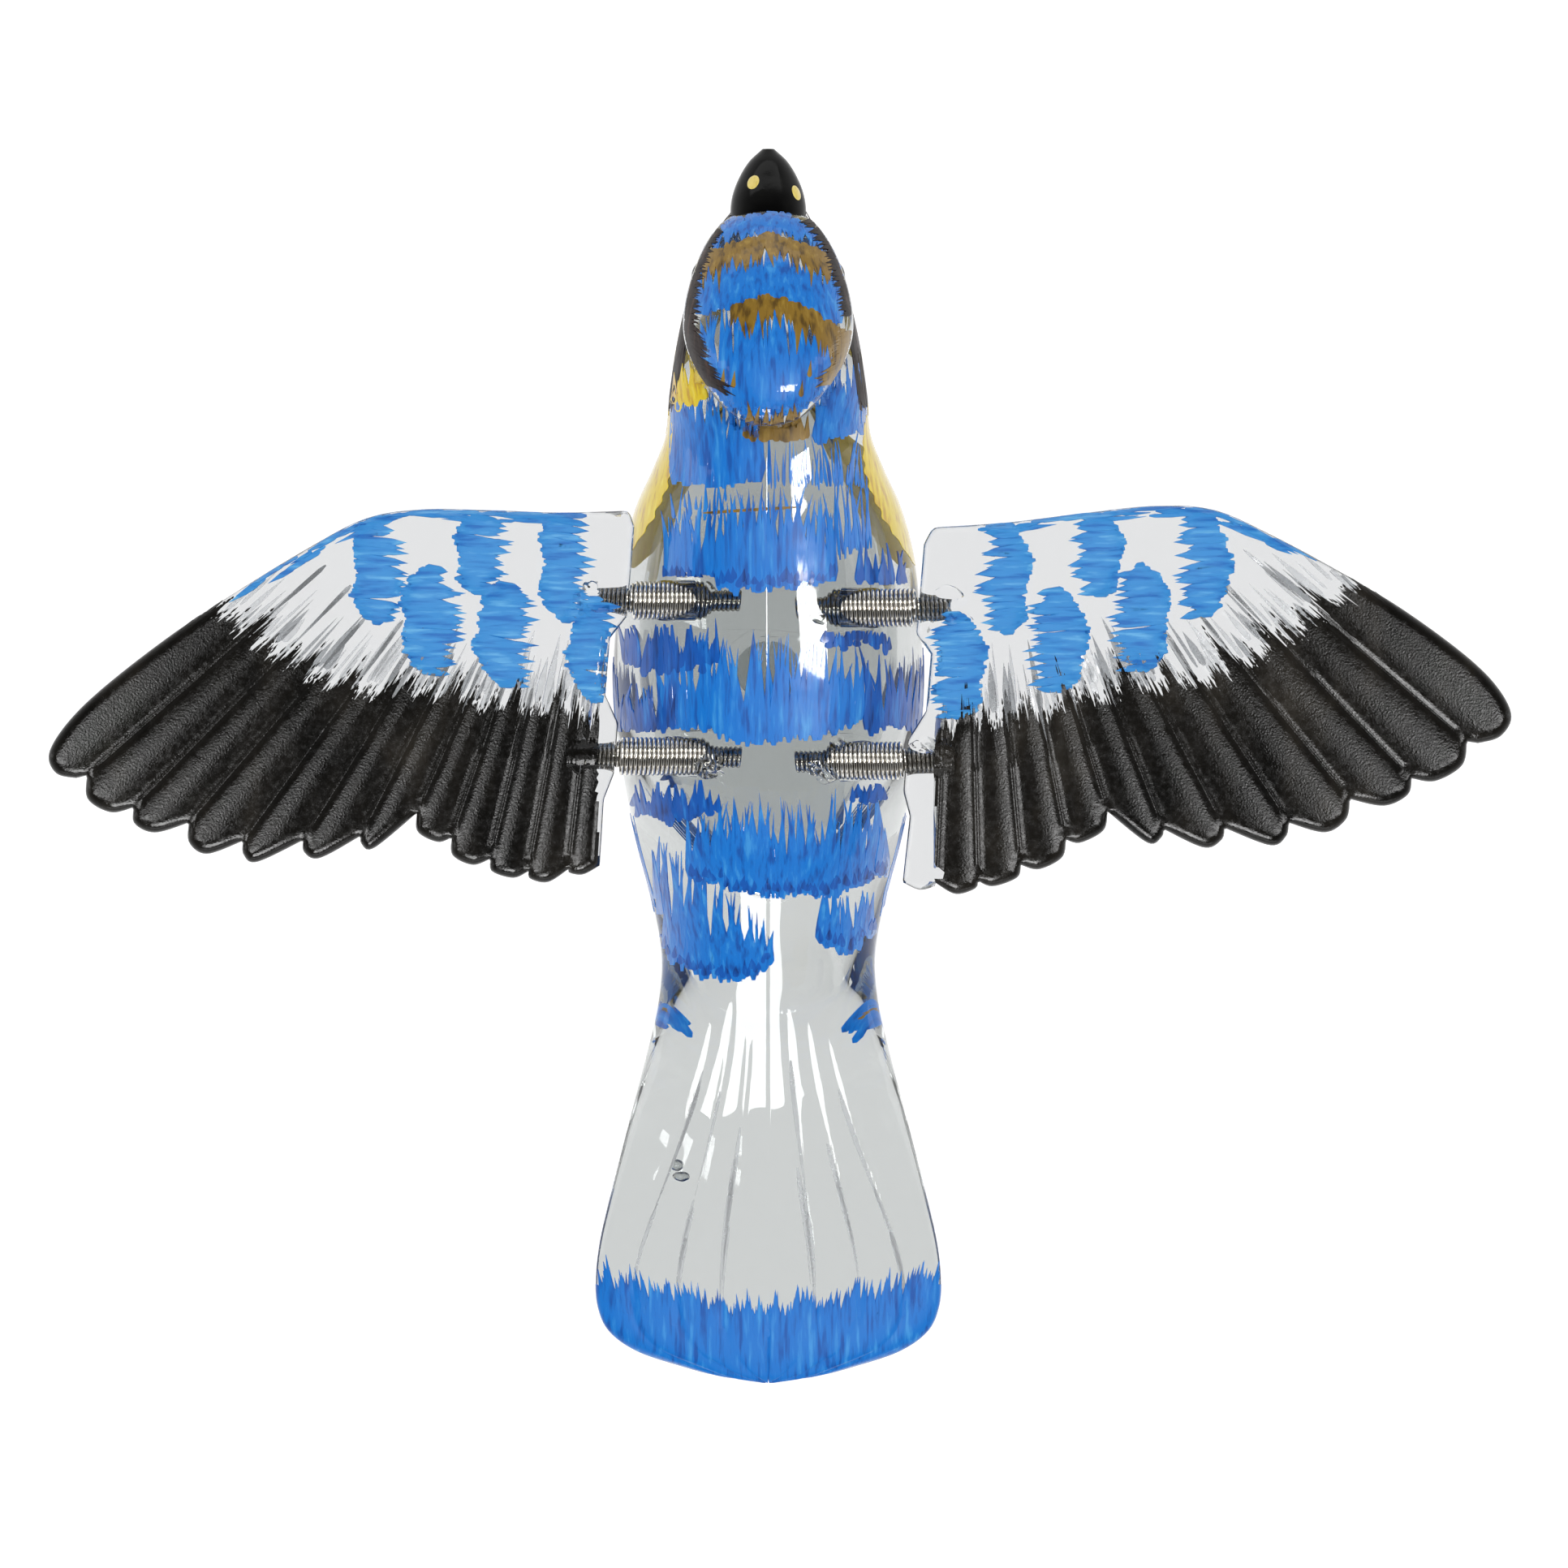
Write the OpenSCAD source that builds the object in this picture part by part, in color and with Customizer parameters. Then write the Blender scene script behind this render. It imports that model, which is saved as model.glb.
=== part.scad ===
// Bird decoy with fluttering wings: a clear two-part body, two clear wings,
// and two close-wound coil springs under each wing root.
// +Y points to the beak, +X to the bird's right wing and +Z up.
// The origin is the centre of the stake socket's mouth, under the belly.
// Millimetres throughout.

/* [Body] */
// Wall thickness of the hollow body
wall = 3.2; // [2.4:0.1:4]
// Half the thickness of the glue film in the centre seam
glue_film = 0.02; // [0.01:0.01:0.05]
// How square the body's cross-section is: 2 is an ellipse
section_power = 2.15; // [2:0.05:2.6]

/* [Stake socket] */
// Radius of the hole that takes the stake
stake_r = 2.1; // [1.6:0.1:2.6]
// Depth of that hole
stake_depth = 15; // [10:1:16]
// Outer radius of the socket sleeve
sleeve_r = 4.5; // [4:0.1:5]

/* [Springs] */
// Outer radius of the coil
coil_r = 2.6; // [2.2:0.1:2.8]
// Outer radius of the narrow neck wound at each end of a spring
neck_r = 1.5; // [1.2:0.1:1.6]
// Diameter of the spring wire
wire_d = 0.6; // [0.5:0.05:0.7]
// Height of the spring axes above the origin
spring_z = 37.8; // [37:0.1:38.5]
// Distance of the front springs ahead of the origin
front_y = 9.2; // [8:0.1:10]
// Distance of the rear springs behind the origin
rear_y = 11.4; // [10.5:0.1:12]

/* [Wings] */
// Thickness of a wing blade
blade_t = 3; // [2.4:0.1:3.2]
// Radius of the boss round each spring neck in a wing
boss_r = 2.5; // [2.2:0.1:2.6]
// How much the left and right sides differ: 0 makes them mirror images
asymmetry = 1; // [0:0.1:1.2]

/* [Hidden] */
LEFT = -1;
RIGHT = 1;
$fn = 48;

// Trunk stations, tail to face: [y, half width, top z, bottom z, z of the widest line]
TRUNK = [
    [-95.0,  1.0, 26.4, 24.4, 25.4], [-94.4,  6.6, 26.8, 24.0, 25.3],
    [-93.2, 11.4, 27.0, 23.7, 25.2], [-91.2, 17.4, 27.2, 23.5, 25.2],
    [-88.6, 21.2, 27.3, 23.4, 25.2], [-85.5, 22.8, 27.4, 23.3, 25.2],
    [-81.5, 23.2, 27.6, 23.2, 25.2], [-76.0, 22.6, 27.9, 23.0, 25.2],
    [-67.5, 20.6, 28.5, 22.8, 25.4], [-58.5, 18.3, 29.5, 22.2, 25.5],
    [-50.0, 16.1, 31.2, 20.0, 25.3], [-44.0, 14.8, 33.0, 16.8, 24.6],
    [-38.0, 14.4, 34.9, 13.2, 23.6], [-31.0, 15.6, 37.2,  9.2, 22.6],
    [-22.0, 17.9, 39.6,  5.0, 21.8], [-12.0, 19.9, 41.2,  2.1, 21.4],
    [ -2.0, 20.9, 42.1,  0.7, 21.4], [  8.0, 20.6, 42.5,  0.9, 21.8],
    [ 16.0, 19.6, 42.6,  2.8, 22.8], [ 22.5, 17.8, 42.6,  6.0, 24.6],
    [ 27.5, 15.5, 42.8, 10.0, 27.2], [ 32.0, 13.7, 43.4, 14.6, 30.6],
    [ 37.0, 13.2, 44.6, 19.4, 34.2], [ 43.0, 12.3, 46.4, 24.6, 37.4],
    [ 49.0, 11.0, 47.2, 28.6, 39.4], [ 54.5,  9.4, 46.6, 31.6, 40.2],
    [ 58.4,  7.4, 45.0, 34.2, 40.4], [ 60.6,  4.6, 43.4, 36.4, 40.2],
    [ 61.4,  2.4, 42.0, 38.0, 40.0]
];
// Crown and crest stations, back to front, in the same columns
CROWN = [
    [32.6,  1.4, 52.4, 50.4, 51.4], [33.3,  3.6, 53.6, 49.2, 51.2],
    [35.0,  5.8, 54.6, 47.0, 50.2], [38.0,  8.2, 55.0, 43.6, 48.4],
    [41.5, 10.3, 54.6, 40.8, 46.6], [45.5, 11.3, 53.6, 39.8, 45.2],
    [50.0, 10.9, 52.0, 39.0, 44.4], [54.5,  9.5, 49.8, 38.6, 43.8],
    [58.0,  7.7, 47.4, 38.4, 43.0], [60.4,  5.5, 45.6, 38.6, 42.4],
    [61.6,  2.6, 44.0, 39.6, 41.8]
];
// Beak stations, back to front
BEAK = [
    [57.0, 4.6, 45.2, 36.6, 41.2], [61.0, 4.95, 44.4, 36.6, 40.8],
    [63.5, 4.7, 43.4, 36.9, 40.2], [66.0, 3.8, 42.0, 37.0, 39.4],
    [68.3, 2.4, 40.6, 37.0, 38.7], [69.9, 0.7, 39.2, 37.6, 38.4]
];
// Length of the hollow, and how many rings and sides each loft gets
HOLLOW_FROM = -34;
HOLLOW_TO = 40;
TRUNK_RINGS = 56;
CROWN_RINGS = 14;
BEAK_RINGS = 8;
HOLLOW_RINGS = 16;
SIDES = 14;
HOLLOW_SIDES = 10;

// Spring sizes along its own axis, measured from the body's centre plane
NECK_START = 3.3;
NECK_END = 6.8;
COIL_START = 8.4;
TAPER = 1.5;
WING_NECK = 4.6;
FIT = 0.12;
SOCKET_FLOOR = 2.9;
GLUE_DISC = 0.35;
BOSS_WALL = 1.2;

// Wing outline: the leading edge from root to tip, as [distance from the centre plane, y]
LEADING = [
    [21.4, 20.6], [30.0, 20.8], [40.0, 21.6], [49.0, 22.1], [56.7, 21.2],
    [64.8, 17.3], [73.5, 12.3], [82.2, 6.8], [90.7, 0.4], [95.4, -4.2],
    [97.6, -8.2], [96.4, -10.9], [93.6, -11.7]
];
// Feather tips from the outermost inwards: [notch before the feather, its lowest point]
FEATHERS = [
    [[92.1, -11.4], [88.4, -16.5]], [[85.3, -16.0], [82.0, -19.5]],
    [[77.5, -18.4], [74.6, -22.7]], [[69.8, -21.2], [67.6, -24.1]],
    [[61.5, -21.5], [59.0, -24.0]], [[53.6, -21.3], [51.6, -23.0]],
    [[46.1, -18.6], [42.9, -22.6]], [[41.0, -22.1], [37.8, -25.9]],
    [[35.4, -25.2], [32.0, -27.9]], [[30.0, -27.1], [27.2, -28.7]],
    [[24.5, -27.1], [22.4, -27.9]]
];
// Root edge, from the rear corner forwards
ROOT = [
    [20.2, -26.8], [20.4, -18.0], [19.3, -14.6], [19.3, -7.8], [21.4, -4.0],
    [21.4, 3.6], [19.3, 6.4], [19.3, 12.6], [19.3, 18.4], [20.0, 20.0]
];
ROOT_FACE = 19.3;
SKEW_CENTRE = [44, -8];
SKEW_SPAN = 0.03;
SKEW_LEAN = 0.083;
SKEW_SWEEP = 0.047;
BOSS_LENGTH = 6.6;
FRONT_SHIFT = 0.5;
REAR_SHIFT = 0.3;

// Index of the table's step that holds y
function step_of(table, y, i = 0) =
    (i >= len(table) - 2 || y <= table[i + 1][0]) ? i : step_of(table, y, i + 1);

// Smooth curve through column k of a table whose first column is y
function curve(table, y, k) =
    let (
        i = step_of(table, y),
        a = table[max(i - 1, 0)],
        b = table[i],
        c = table[i + 1],
        d = table[min(i + 2, len(table) - 1)],
        h = c[0] - b[0],
        u = (y - b[0]) / h,
        slope_b = (c[k] - a[k]) / (c[0] - a[0]) * h,
        slope_c = (d[k] - b[k]) / (d[0] - b[0]) * h
    )
    (2 * u ^ 3 - 3 * u ^ 2 + 1) * b[k] + (u ^ 3 - 2 * u ^ 2 + u) * slope_b
    + (3 * u ^ 2 - 2 * u ^ 3) * c[k] + (u ^ 3 - u ^ 2) * slope_c;

// Half of one cross-section, from its top round the side to its bottom, cut off at plane
function half_ring(table, y, side, sides, inset, plane) =
    let (
        w = curve(table, y, 1) - inset,
        top = curve(table, y, 2) - inset,
        bottom = curve(table, y, 3) + inset,
        level = curve(table, y, 4)
    )
    [for (j = [0 : sides])
        let (
            angle = 90 - 180 * j / sides,
            out = max(cos(angle), 0) ^ (2 / section_power),
            up = abs(sin(angle)) ^ (2 / section_power)
        )
        [
            side * (plane + (w - plane) * out),
            y,
            angle >= 0 ? level + (top - level) * up : level - (level - bottom) * up
        ]
    ];

// Ring positions, closer together at both ends
function ring_places(from, to, rings) =
    [for (i = [0 : rings]) from + (to - from) * (0.5 - 0.5 * cos(180 * i / rings)) * 0.6
        + (to - from) * i / rings * 0.4];

// One side of a body of stacked cross-sections, flat at the given plane
module half_loft(table, side, rings, sides, from, to, inset = 0, plane = glue_film) {
    places = ring_places(from, to, rings);
    points = [for (y = places) each half_ring(table, y, side, sides, inset, plane)];
    n = sides + 1;
    skin = [for (i = [0 : rings - 1], j = [0 : sides])
        let (a = i * n + j, b = i * n + (j + 1) % n, c = b + n, d = a + n)
        each [[a, b, c], [a, c, d]]];
    first = [for (j = [sides : -1 : 0]) j];
    last = [for (j = [0 : sides]) rings * n + j];
    faces = concat(skin, [first], [last]);
    polyhedron(
        points,
        side > 0 ? [for (f = faces) [for (k = [len(f) - 1 : -1 : 0]) f[k]]] : faces,
        convexity = 6
    );
}

// A cylinder along X that reaches from one distance to another on one side
module side_rod(side, y, z, r, from, to) {
    translate([side > 0 ? from : -to, y, z])
        rotate([0, 90, 0])
            cylinder(r = r, h = to - from);
}

// The hollow inside one half: a smaller loft with the spring bars and socket pad left standing
module half_hollow(side) {
    difference() {
        half_loft(TRUNK, side, HOLLOW_RINGS, HOLLOW_SIDES, HOLLOW_FROM, HOLLOW_TO, wall, -1);
        for (y = [front_at(side), rear_at(side)])
            side_rod(side, y, spring_z, coil_r + BOSS_WALL, -2, 16, $fn = 20);
        translate([0, 0, -1])
            cylinder(r = sleeve_r + 2, h = stake_depth + 4, $fn = 24);
    }
}

// Outer shape and hollow of one half, as one mesh
module half_casting(side) {
    resize([0, 0, 0]) difference() {
        union() {
            half_loft(TRUNK, side, TRUNK_RINGS, SIDES, TRUNK[0][0], TRUNK[len(TRUNK) - 1][0]);
            half_loft(CROWN, side, CROWN_RINGS, 10, CROWN[0][0], CROWN[len(CROWN) - 1][0]);
            half_loft(BEAK, side, BEAK_RINGS, 10, BEAK[0][0], BEAK[len(BEAK) - 1][0]);
        }
        half_hollow(side);
    }
}

// One glued half of the body, with the stepped spring sockets and the sleeve's seat
module body_half(side) {
    color("lightsteelblue", 0.5) difference() {
        half_casting(side);
        for (y = [front_at(side), rear_at(side)]) {
            side_rod(side, y, spring_z, neck_r + FIT, SOCKET_FLOOR, NECK_END + 1);
            side_rod(side, y, spring_z, coil_r + FIT, NECK_END, 30);
        }
        translate([0, 0, -2])
            cylinder(r = sleeve_r + 0.05, h = stake_depth + 4.05);
    }
}

// Blind sleeve in the belly that takes the stake
module stake_sleeve() {
    color("gainsboro", 0.6) difference() {
        cylinder(r = sleeve_r, h = stake_depth + 2);
        translate([0, 0, -1])
            cylinder(r = stake_r, h = stake_depth + 1);
    }
}

// Moves an outline point by the difference between the two wing mouldings
function skewed(p, side) =
    let (k = -side * asymmetry, ds = p[0] - SKEW_CENTRE[0], dc = p[1] - SKEW_CENTRE[1])
    [p[0] - k * (SKEW_SPAN * ds + SKEW_LEAN * dc), p[1] - k * SKEW_SWEEP * ds];

// Where the front and the rear spring of one side lie along Y
function front_at(side) = front_y - side * asymmetry * FRONT_SHIFT;
function rear_at(side) = -rear_y - side * asymmetry * REAR_SHIFT;

// Where a spring's coil meets the wing root, as a distance from the centre plane
function face_at(side, y) = skewed([ROOT_FACE, y], side)[0];

// Smooth curve through plain points, with a few steps between each two
function smooth(points, steps) =
    let (last = len(points) - 1)
    [for (i = [0 : last - 1], s = [0 : steps - 1])
        let (
            a = points[max(i - 1, 0)],
            b = points[i],
            c = points[i + 1],
            d = points[min(i + 2, last)],
            u = s / steps
        )
        0.5 * (2 * b + (c - a) * u + (2 * a - 5 * b + 4 * c - d) * u ^ 2
            + (3 * b - a - 3 * c + d) * u ^ 3)];

// One feather's end: steep on its outer side, rounded, then rising slowly to the next notch
function feather_end(notch, tip, next) =
    smooth([
        notch,
        [notch[0] - 0.1 * (notch[0] - tip[0]), notch[1] + 0.62 * (tip[1] - notch[1])],
        tip,
        next
    ], 4);

function wing_outline() = concat(
    smooth(LEADING, 3),
    [LEADING[len(LEADING) - 1]],
    [for (i = [0 : len(FEATHERS) - 1])
        each feather_end(
            FEATHERS[i][0],
            FEATHERS[i][1],
            i + 1 < len(FEATHERS) ? FEATHERS[i + 1][0] : ROOT[0]
        )],
    ROOT
);

// One wing: a flat blade of 12 feathers with two bored bosses at its root
module wing(side) {
    color(side > 0 ? "dodgerblue" : "deepskyblue", 0.7) difference() {
        union() {
            translate([0, 0, spring_z - blade_t / 2])
                linear_extrude(height = blade_t)
                    polygon([for (p = wing_outline())
                        let (q = skewed(p, side)) [side * q[0], q[1]]]);
            for (y = [front_at(side), rear_at(side)])
                side_rod(
                    side, y, spring_z, boss_r,
                    face_at(side, y), face_at(side, y) + BOSS_LENGTH
                );
        }
        for (y = [front_at(side), rear_at(side)])
            side_rod(
                side, y, spring_z, neck_r + FIT,
                face_at(side, y) - 3, face_at(side, y) + WING_NECK + GLUE_DISC
            );
    }
}

// Spring profile: narrow neck, taper, close-wound coil, taper, narrow neck
function spring_path(face) = [
    [NECK_START, neck_r], [NECK_END + 0.2, neck_r], [COIL_START, coil_r],
    [face - TAPER, coil_r], [face - 0.05, neck_r], [face + WING_NECK, neck_r]
];

// Turns of the coil show as ridges, one for each wire diameter
function ridges(from, to) =
    let (turns = floor((to - from) / wire_d), pitch = (to - from) / turns)
    [for (i = [0 : turns - 1], s = [[0, 0.16], [0.28, 0], [0.72, 0]])
        [from + (i + s[0]) * pitch, coil_r - s[1] * wire_d]];

// A whole spring, standing in for its windings as one ridged tube
module spring(side, y) {
    face = face_at(side, y);
    path = spring_path(face);
    outer = concat([path[0], path[1]], ridges(COIL_START, face - TAPER), [path[3], path[4], path[5]]);
    inner = [for (i = [5 : -1 : 0]) [path[i][0], path[i][1] - wire_d]];
    color("silver")
        translate([0, y, spring_z])
            rotate([0, side * 90, 0])
                rotate_extrude()
                    polygon([for (p = concat(outer, inner)) [p[1], p[0]]]);
}

// Cured glue at the body end of a spring: a disc on the socket floor and a core in the neck
module body_glue(side, y) {
    color("whitesmoke", 0.5) union() {
        side_rod(side, y, spring_z, neck_r + FIT, SOCKET_FLOOR, NECK_START - 0.02);
        side_rod(side, y, spring_z, neck_r - wire_d - 0.03, SOCKET_FLOOR + 0.1, NECK_END);
    }
}

// The same at the wing end
module wing_glue(side, y) {
    floor_x = face_at(side, y) + WING_NECK + GLUE_DISC;
    color("whitesmoke", 0.5) union() {
        side_rod(side, y, spring_z, neck_r + FIT, floor_x - GLUE_DISC + 0.02, floor_x);
        side_rod(side, y, spring_z, neck_r - wire_d - 0.03, floor_x - WING_NECK, floor_x - 0.1);
    }
}

body_half(LEFT);  // body_left_half
body_half(RIGHT);  // body_right_half
stake_sleeve();  // stake_socket
wing(LEFT);  // left_wing
wing(RIGHT);  // right_wing
spring(LEFT, front_at(LEFT));  // left_front_spring
spring(LEFT, rear_at(LEFT));  // left_rear_spring
spring(RIGHT, front_at(RIGHT));  // right_front_spring
spring(RIGHT, rear_at(RIGHT));  // right_rear_spring
body_glue(LEFT, front_at(LEFT));  // left_front_body_glue
body_glue(LEFT, rear_at(LEFT));  // left_rear_body_glue
body_glue(RIGHT, front_at(RIGHT));  // right_front_body_glue
body_glue(RIGHT, rear_at(RIGHT));  // right_rear_body_glue
wing_glue(LEFT, front_at(LEFT));  // left_front_wing_glue
wing_glue(LEFT, rear_at(LEFT));  // left_rear_wing_glue
wing_glue(RIGHT, front_at(RIGHT));  // right_front_wing_glue
wing_glue(RIGHT, rear_at(RIGHT));  // right_rear_wing_glue
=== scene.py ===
import math
import random

import bmesh
import bpy
import numpy as np
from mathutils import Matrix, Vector, geometry
from mathutils.bvhtree import BVHTree


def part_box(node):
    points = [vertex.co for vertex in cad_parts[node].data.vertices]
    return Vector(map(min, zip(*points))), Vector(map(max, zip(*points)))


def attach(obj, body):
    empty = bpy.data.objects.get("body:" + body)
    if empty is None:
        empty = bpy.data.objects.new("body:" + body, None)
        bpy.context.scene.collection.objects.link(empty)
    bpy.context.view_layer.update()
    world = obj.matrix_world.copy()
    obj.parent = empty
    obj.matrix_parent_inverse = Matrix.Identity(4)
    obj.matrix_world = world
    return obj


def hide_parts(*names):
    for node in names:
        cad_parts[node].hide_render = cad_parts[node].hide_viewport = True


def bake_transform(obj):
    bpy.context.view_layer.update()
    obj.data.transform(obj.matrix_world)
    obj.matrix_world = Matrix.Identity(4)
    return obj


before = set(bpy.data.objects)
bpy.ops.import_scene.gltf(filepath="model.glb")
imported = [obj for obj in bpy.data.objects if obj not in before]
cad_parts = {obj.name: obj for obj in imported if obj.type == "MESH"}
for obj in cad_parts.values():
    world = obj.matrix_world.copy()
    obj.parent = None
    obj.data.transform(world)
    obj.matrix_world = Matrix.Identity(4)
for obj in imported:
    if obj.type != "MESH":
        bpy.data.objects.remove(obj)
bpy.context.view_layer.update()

# A clear bird decoy with brush-painted feathers and sprung wings.
# Lengths are millimetres in the CAD's frame: +Y to the beak, +X to the right wing, +Z up.
# Blender's own settings, such as lights, the camera and depths of grain, are in metres.
MM = 0.001
SIDES = {"left": -1, "right": 1}
VIEW_CENTRE = (0.0021, -0.0148)

# ---- sizes shared with the CAD
SECTION_POWER = 2.15
WALL = 3.2
HOLLOW_TO = 40
COIL_R = 2.6
NECK_R = 1.5
WIRE_R = 0.29
FIT = 0.12
NECK_START = 3.3
NECK_END = 6.8
COIL_START = 8.4
WING_NECK = 4.6
BAR_R = 3.8
BLADE_T = 3.0
BOSS_R = 2.5
BOSS_LENGTH = 6.6
SLEEVE_R = 4.5
SLEEVE_TOP = 17

# The air space's rear end, 4.5 mm further forward than in the CAD, under a band of paint
HOLLOW_FROM = -29.5

# Stations: [y, half width, top z, bottom z, z of the widest line]
TRUNK = np.array([
    [-95, 1, 26.4, 24.4, 25.4], [-94.4, 6.6, 26.8, 24, 25.3],
    [-93.2, 11.4, 27, 23.7, 25.2], [-91.2, 17.4, 27.2, 23.5, 25.2],
    [-88.6, 21.2, 27.3, 23.4, 25.2], [-85.5, 22.8, 27.4, 23.3, 25.2],
    [-81.5, 23.2, 27.6, 23.2, 25.2], [-76, 22.6, 27.9, 23, 25.2],
    [-67.5, 20.6, 28.5, 22.8, 25.4], [-58.5, 18.3, 29.5, 22.2, 25.5],
    [-50, 16.1, 31.2, 20, 25.3], [-44, 14.8, 33, 16.8, 24.6],
    [-38, 14.4, 34.9, 13.2, 23.6], [-31, 15.6, 37.2, 9.2, 22.6],
    [-22, 17.9, 39.6, 5, 21.8], [-12, 19.9, 41.2, 2.1, 21.4],
    [-2, 20.9, 42.1, 0.7, 21.4], [8, 20.6, 42.5, 0.9, 21.8],
    [16, 19.6, 42.6, 2.8, 22.8], [22.5, 17.8, 42.6, 6, 24.6],
    [27.5, 15.5, 42.8, 10, 27.2], [32, 13.7, 43.4, 14.6, 30.6],
    [37, 13.2, 44.6, 19.4, 34.2], [43, 12.3, 46.4, 24.6, 37.4],
    [49, 11, 47.2, 28.6, 39.4], [54.5, 9.4, 46.6, 31.6, 40.2],
    [58.4, 7.4, 45, 34.2, 40.4], [60.6, 4.6, 43.4, 36.4, 40.2],
    [61.4, 2.4, 42, 38, 40],
])
CROWN = np.array([
    [32.6, 1.4, 52.4, 50.4, 51.4], [33.3, 3.6, 53.6, 49.2, 51.2],
    [35, 5.8, 54.6, 47, 50.2], [38, 8.2, 55, 43.6, 48.4],
    [41.5, 10.3, 54.6, 40.8, 46.6], [45.5, 11.3, 53.6, 39.8, 45.2],
    [50, 10.9, 52, 39, 44.4], [54.5, 9.5, 49.8, 38.6, 43.8],
    [58, 7.7, 47.4, 38.4, 43], [60.4, 5.5, 45.6, 38.6, 42.4],
    [61.6, 2.6, 44, 39.6, 41.8],
])
BEAK = np.array([
    [57, 4.6, 45.2, 36.6, 41.2], [61, 4.95, 44.4, 36.6, 40.8],
    [63.5, 4.7, 43.4, 36.9, 40.2], [66, 3.8, 42, 37, 39.4],
    [68.3, 2.4, 40.6, 37, 38.7], [69.9, 0.7, 39.2, 37.6, 38.4],
])

# Wing outline as [distance from the centre plane, y]; each feather has the notch before it and its tip
LEADING = [
    [21.4, 20.6], [30, 20.8], [40, 21.6], [49, 22.1], [56.7, 21.2],
    [64.8, 17.3], [73.5, 12.3], [82.2, 6.8], [90.7, 0.4], [95.4, -4.2],
    [97.6, -8.2], [96.4, -10.9], [93.6, -11.7],
]
FEATHERS = [
    [[92.1, -11.4], [88.4, -16.5]], [[85.3, -16], [82, -19.5]],
    [[77.5, -18.4], [74.6, -22.7]], [[69.8, -21.2], [67.6, -24.1]],
    [[61.5, -21.5], [59, -24]], [[53.6, -21.3], [51.6, -23]],
    [[46.1, -18.6], [42.9, -22.6]], [[41, -22.1], [37.8, -25.9]],
    [[35.4, -25.2], [32, -27.9]], [[30, -27.1], [27.2, -28.7]],
    [[24.5, -27.1], [22.4, -27.9]],
]
ROOT = [
    [20.2, -26.8], [20.4, -18], [19.3, -14.6], [19.3, -7.8], [21.4, -4],
    [21.4, 3.6], [19.3, 6.4], [19.3, 12.6], [19.3, 18.4], [20, 20],
]
ROOT_FACE = 19.3
SKEW_CENTRE = (44, -8)
SKEW_SPAN = 0.03
SKEW_LEAN = 0.083
SKEW_SWEEP = 0.047


def middle(node):
    """The middle of a CAD node, in millimetres."""
    low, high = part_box(node)
    return (low + high) / 2 / MM


SPRING_Z = middle("left_front_spring").z
SPRINGS = [
    (name, side, end, middle(f"{name}_{end}_spring").y)
    for name, side in SIDES.items()
    for end in ("front", "rear")
]


# ---- shapes
def turns(count):
    """Angles evenly round a circle."""
    return np.linspace(0, 2 * math.pi, count, endpoint=False)


def hermite(table, y):
    """Smooth values of every column of a table at each y, as the CAD works them out."""
    y = np.atleast_1d(np.asarray(y, float))
    last = len(table) - 1
    i = np.clip(np.searchsorted(table[:, 0], y) - 1, 0, last - 1)
    a = table[np.maximum(i - 1, 0)]
    b = table[i]
    c = table[i + 1]
    d = table[np.minimum(i + 2, last)]
    h = (c[:, 0] - b[:, 0])[:, None]
    u = ((y - b[:, 0]) / h[:, 0])[:, None]
    slope_b = (c - a) / (c[:, :1] - a[:, :1]) * h
    slope_c = (d - b) / (d[:, :1] - b[:, :1]) * h
    u2 = u * u
    u3 = u2 * u
    return (
        (2 * u3 - 3 * u2 + 1) * b + (u3 - 2 * u2 + u) * slope_b
        + (3 * u2 - 2 * u3) * c + (u3 - u2) * slope_c
    )


def smoothstep(low, high, x):
    t = np.clip((np.asarray(x, float) - low) / (high - low), 0, 1)
    return t * t * (3 - 2 * t)


def section_points(table, ys, angles, inset=0.0, shrink=1.0):
    """Points round the cross-sections at ys, one y to a ring or one to a point.
    Angle 0 is the top, 90 degrees the right side, 180 the bottom."""
    ys = np.asarray(ys, float)
    if ys.ndim == 1:
        ys = np.repeat(ys[:, None], len(angles), axis=1)
    values = hermite(table, ys.ravel()).reshape(*ys.shape, 5)
    scale = np.broadcast_to(shrink, (len(ys),))[:, None]
    level = values[..., 4]
    width = (values[..., 1] - inset) * scale
    top = (values[..., 2] - inset - level) * scale
    bottom = (level - values[..., 3] - inset) * scale
    out = np.sign(np.sin(angles)) * np.abs(np.sin(angles)) ** (2 / SECTION_POWER)
    up = np.abs(np.cos(angles)) ** (2 / SECTION_POWER)
    rise = np.where(np.cos(angles) >= 0, top * up, -bottom * up)
    return np.stack([width * out, ys, level + rise], axis=-1)


def smooth_shade(piece, sharp):
    """Smooth shading, with hard edges where faces meet at more than an angle in degrees."""
    piece.data.shade_smooth()
    piece.data.set_sharp_from_angle(angle=math.radians(sharp))


def add_object(name, data):
    made = bpy.data.objects.new(name, data)
    bpy.context.scene.collection.objects.link(made)
    return made


def make_object(name, vertices, faces, sharp=None):
    """A mesh object from millimetre points, with each closed part's faces turned outwards."""
    mesh = bpy.data.meshes.new(name)
    mesh.from_pydata((np.asarray(vertices) * MM).tolist(), [], faces)
    mesh.validate()
    build = bmesh.new()
    build.from_mesh(mesh)
    bmesh.ops.recalc_face_normals(build, faces=build.faces[:])
    build.to_mesh(mesh)
    build.free()
    made = add_object(name, mesh)
    if sharp:
        smooth_shade(made, sharp)
    return made


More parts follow.
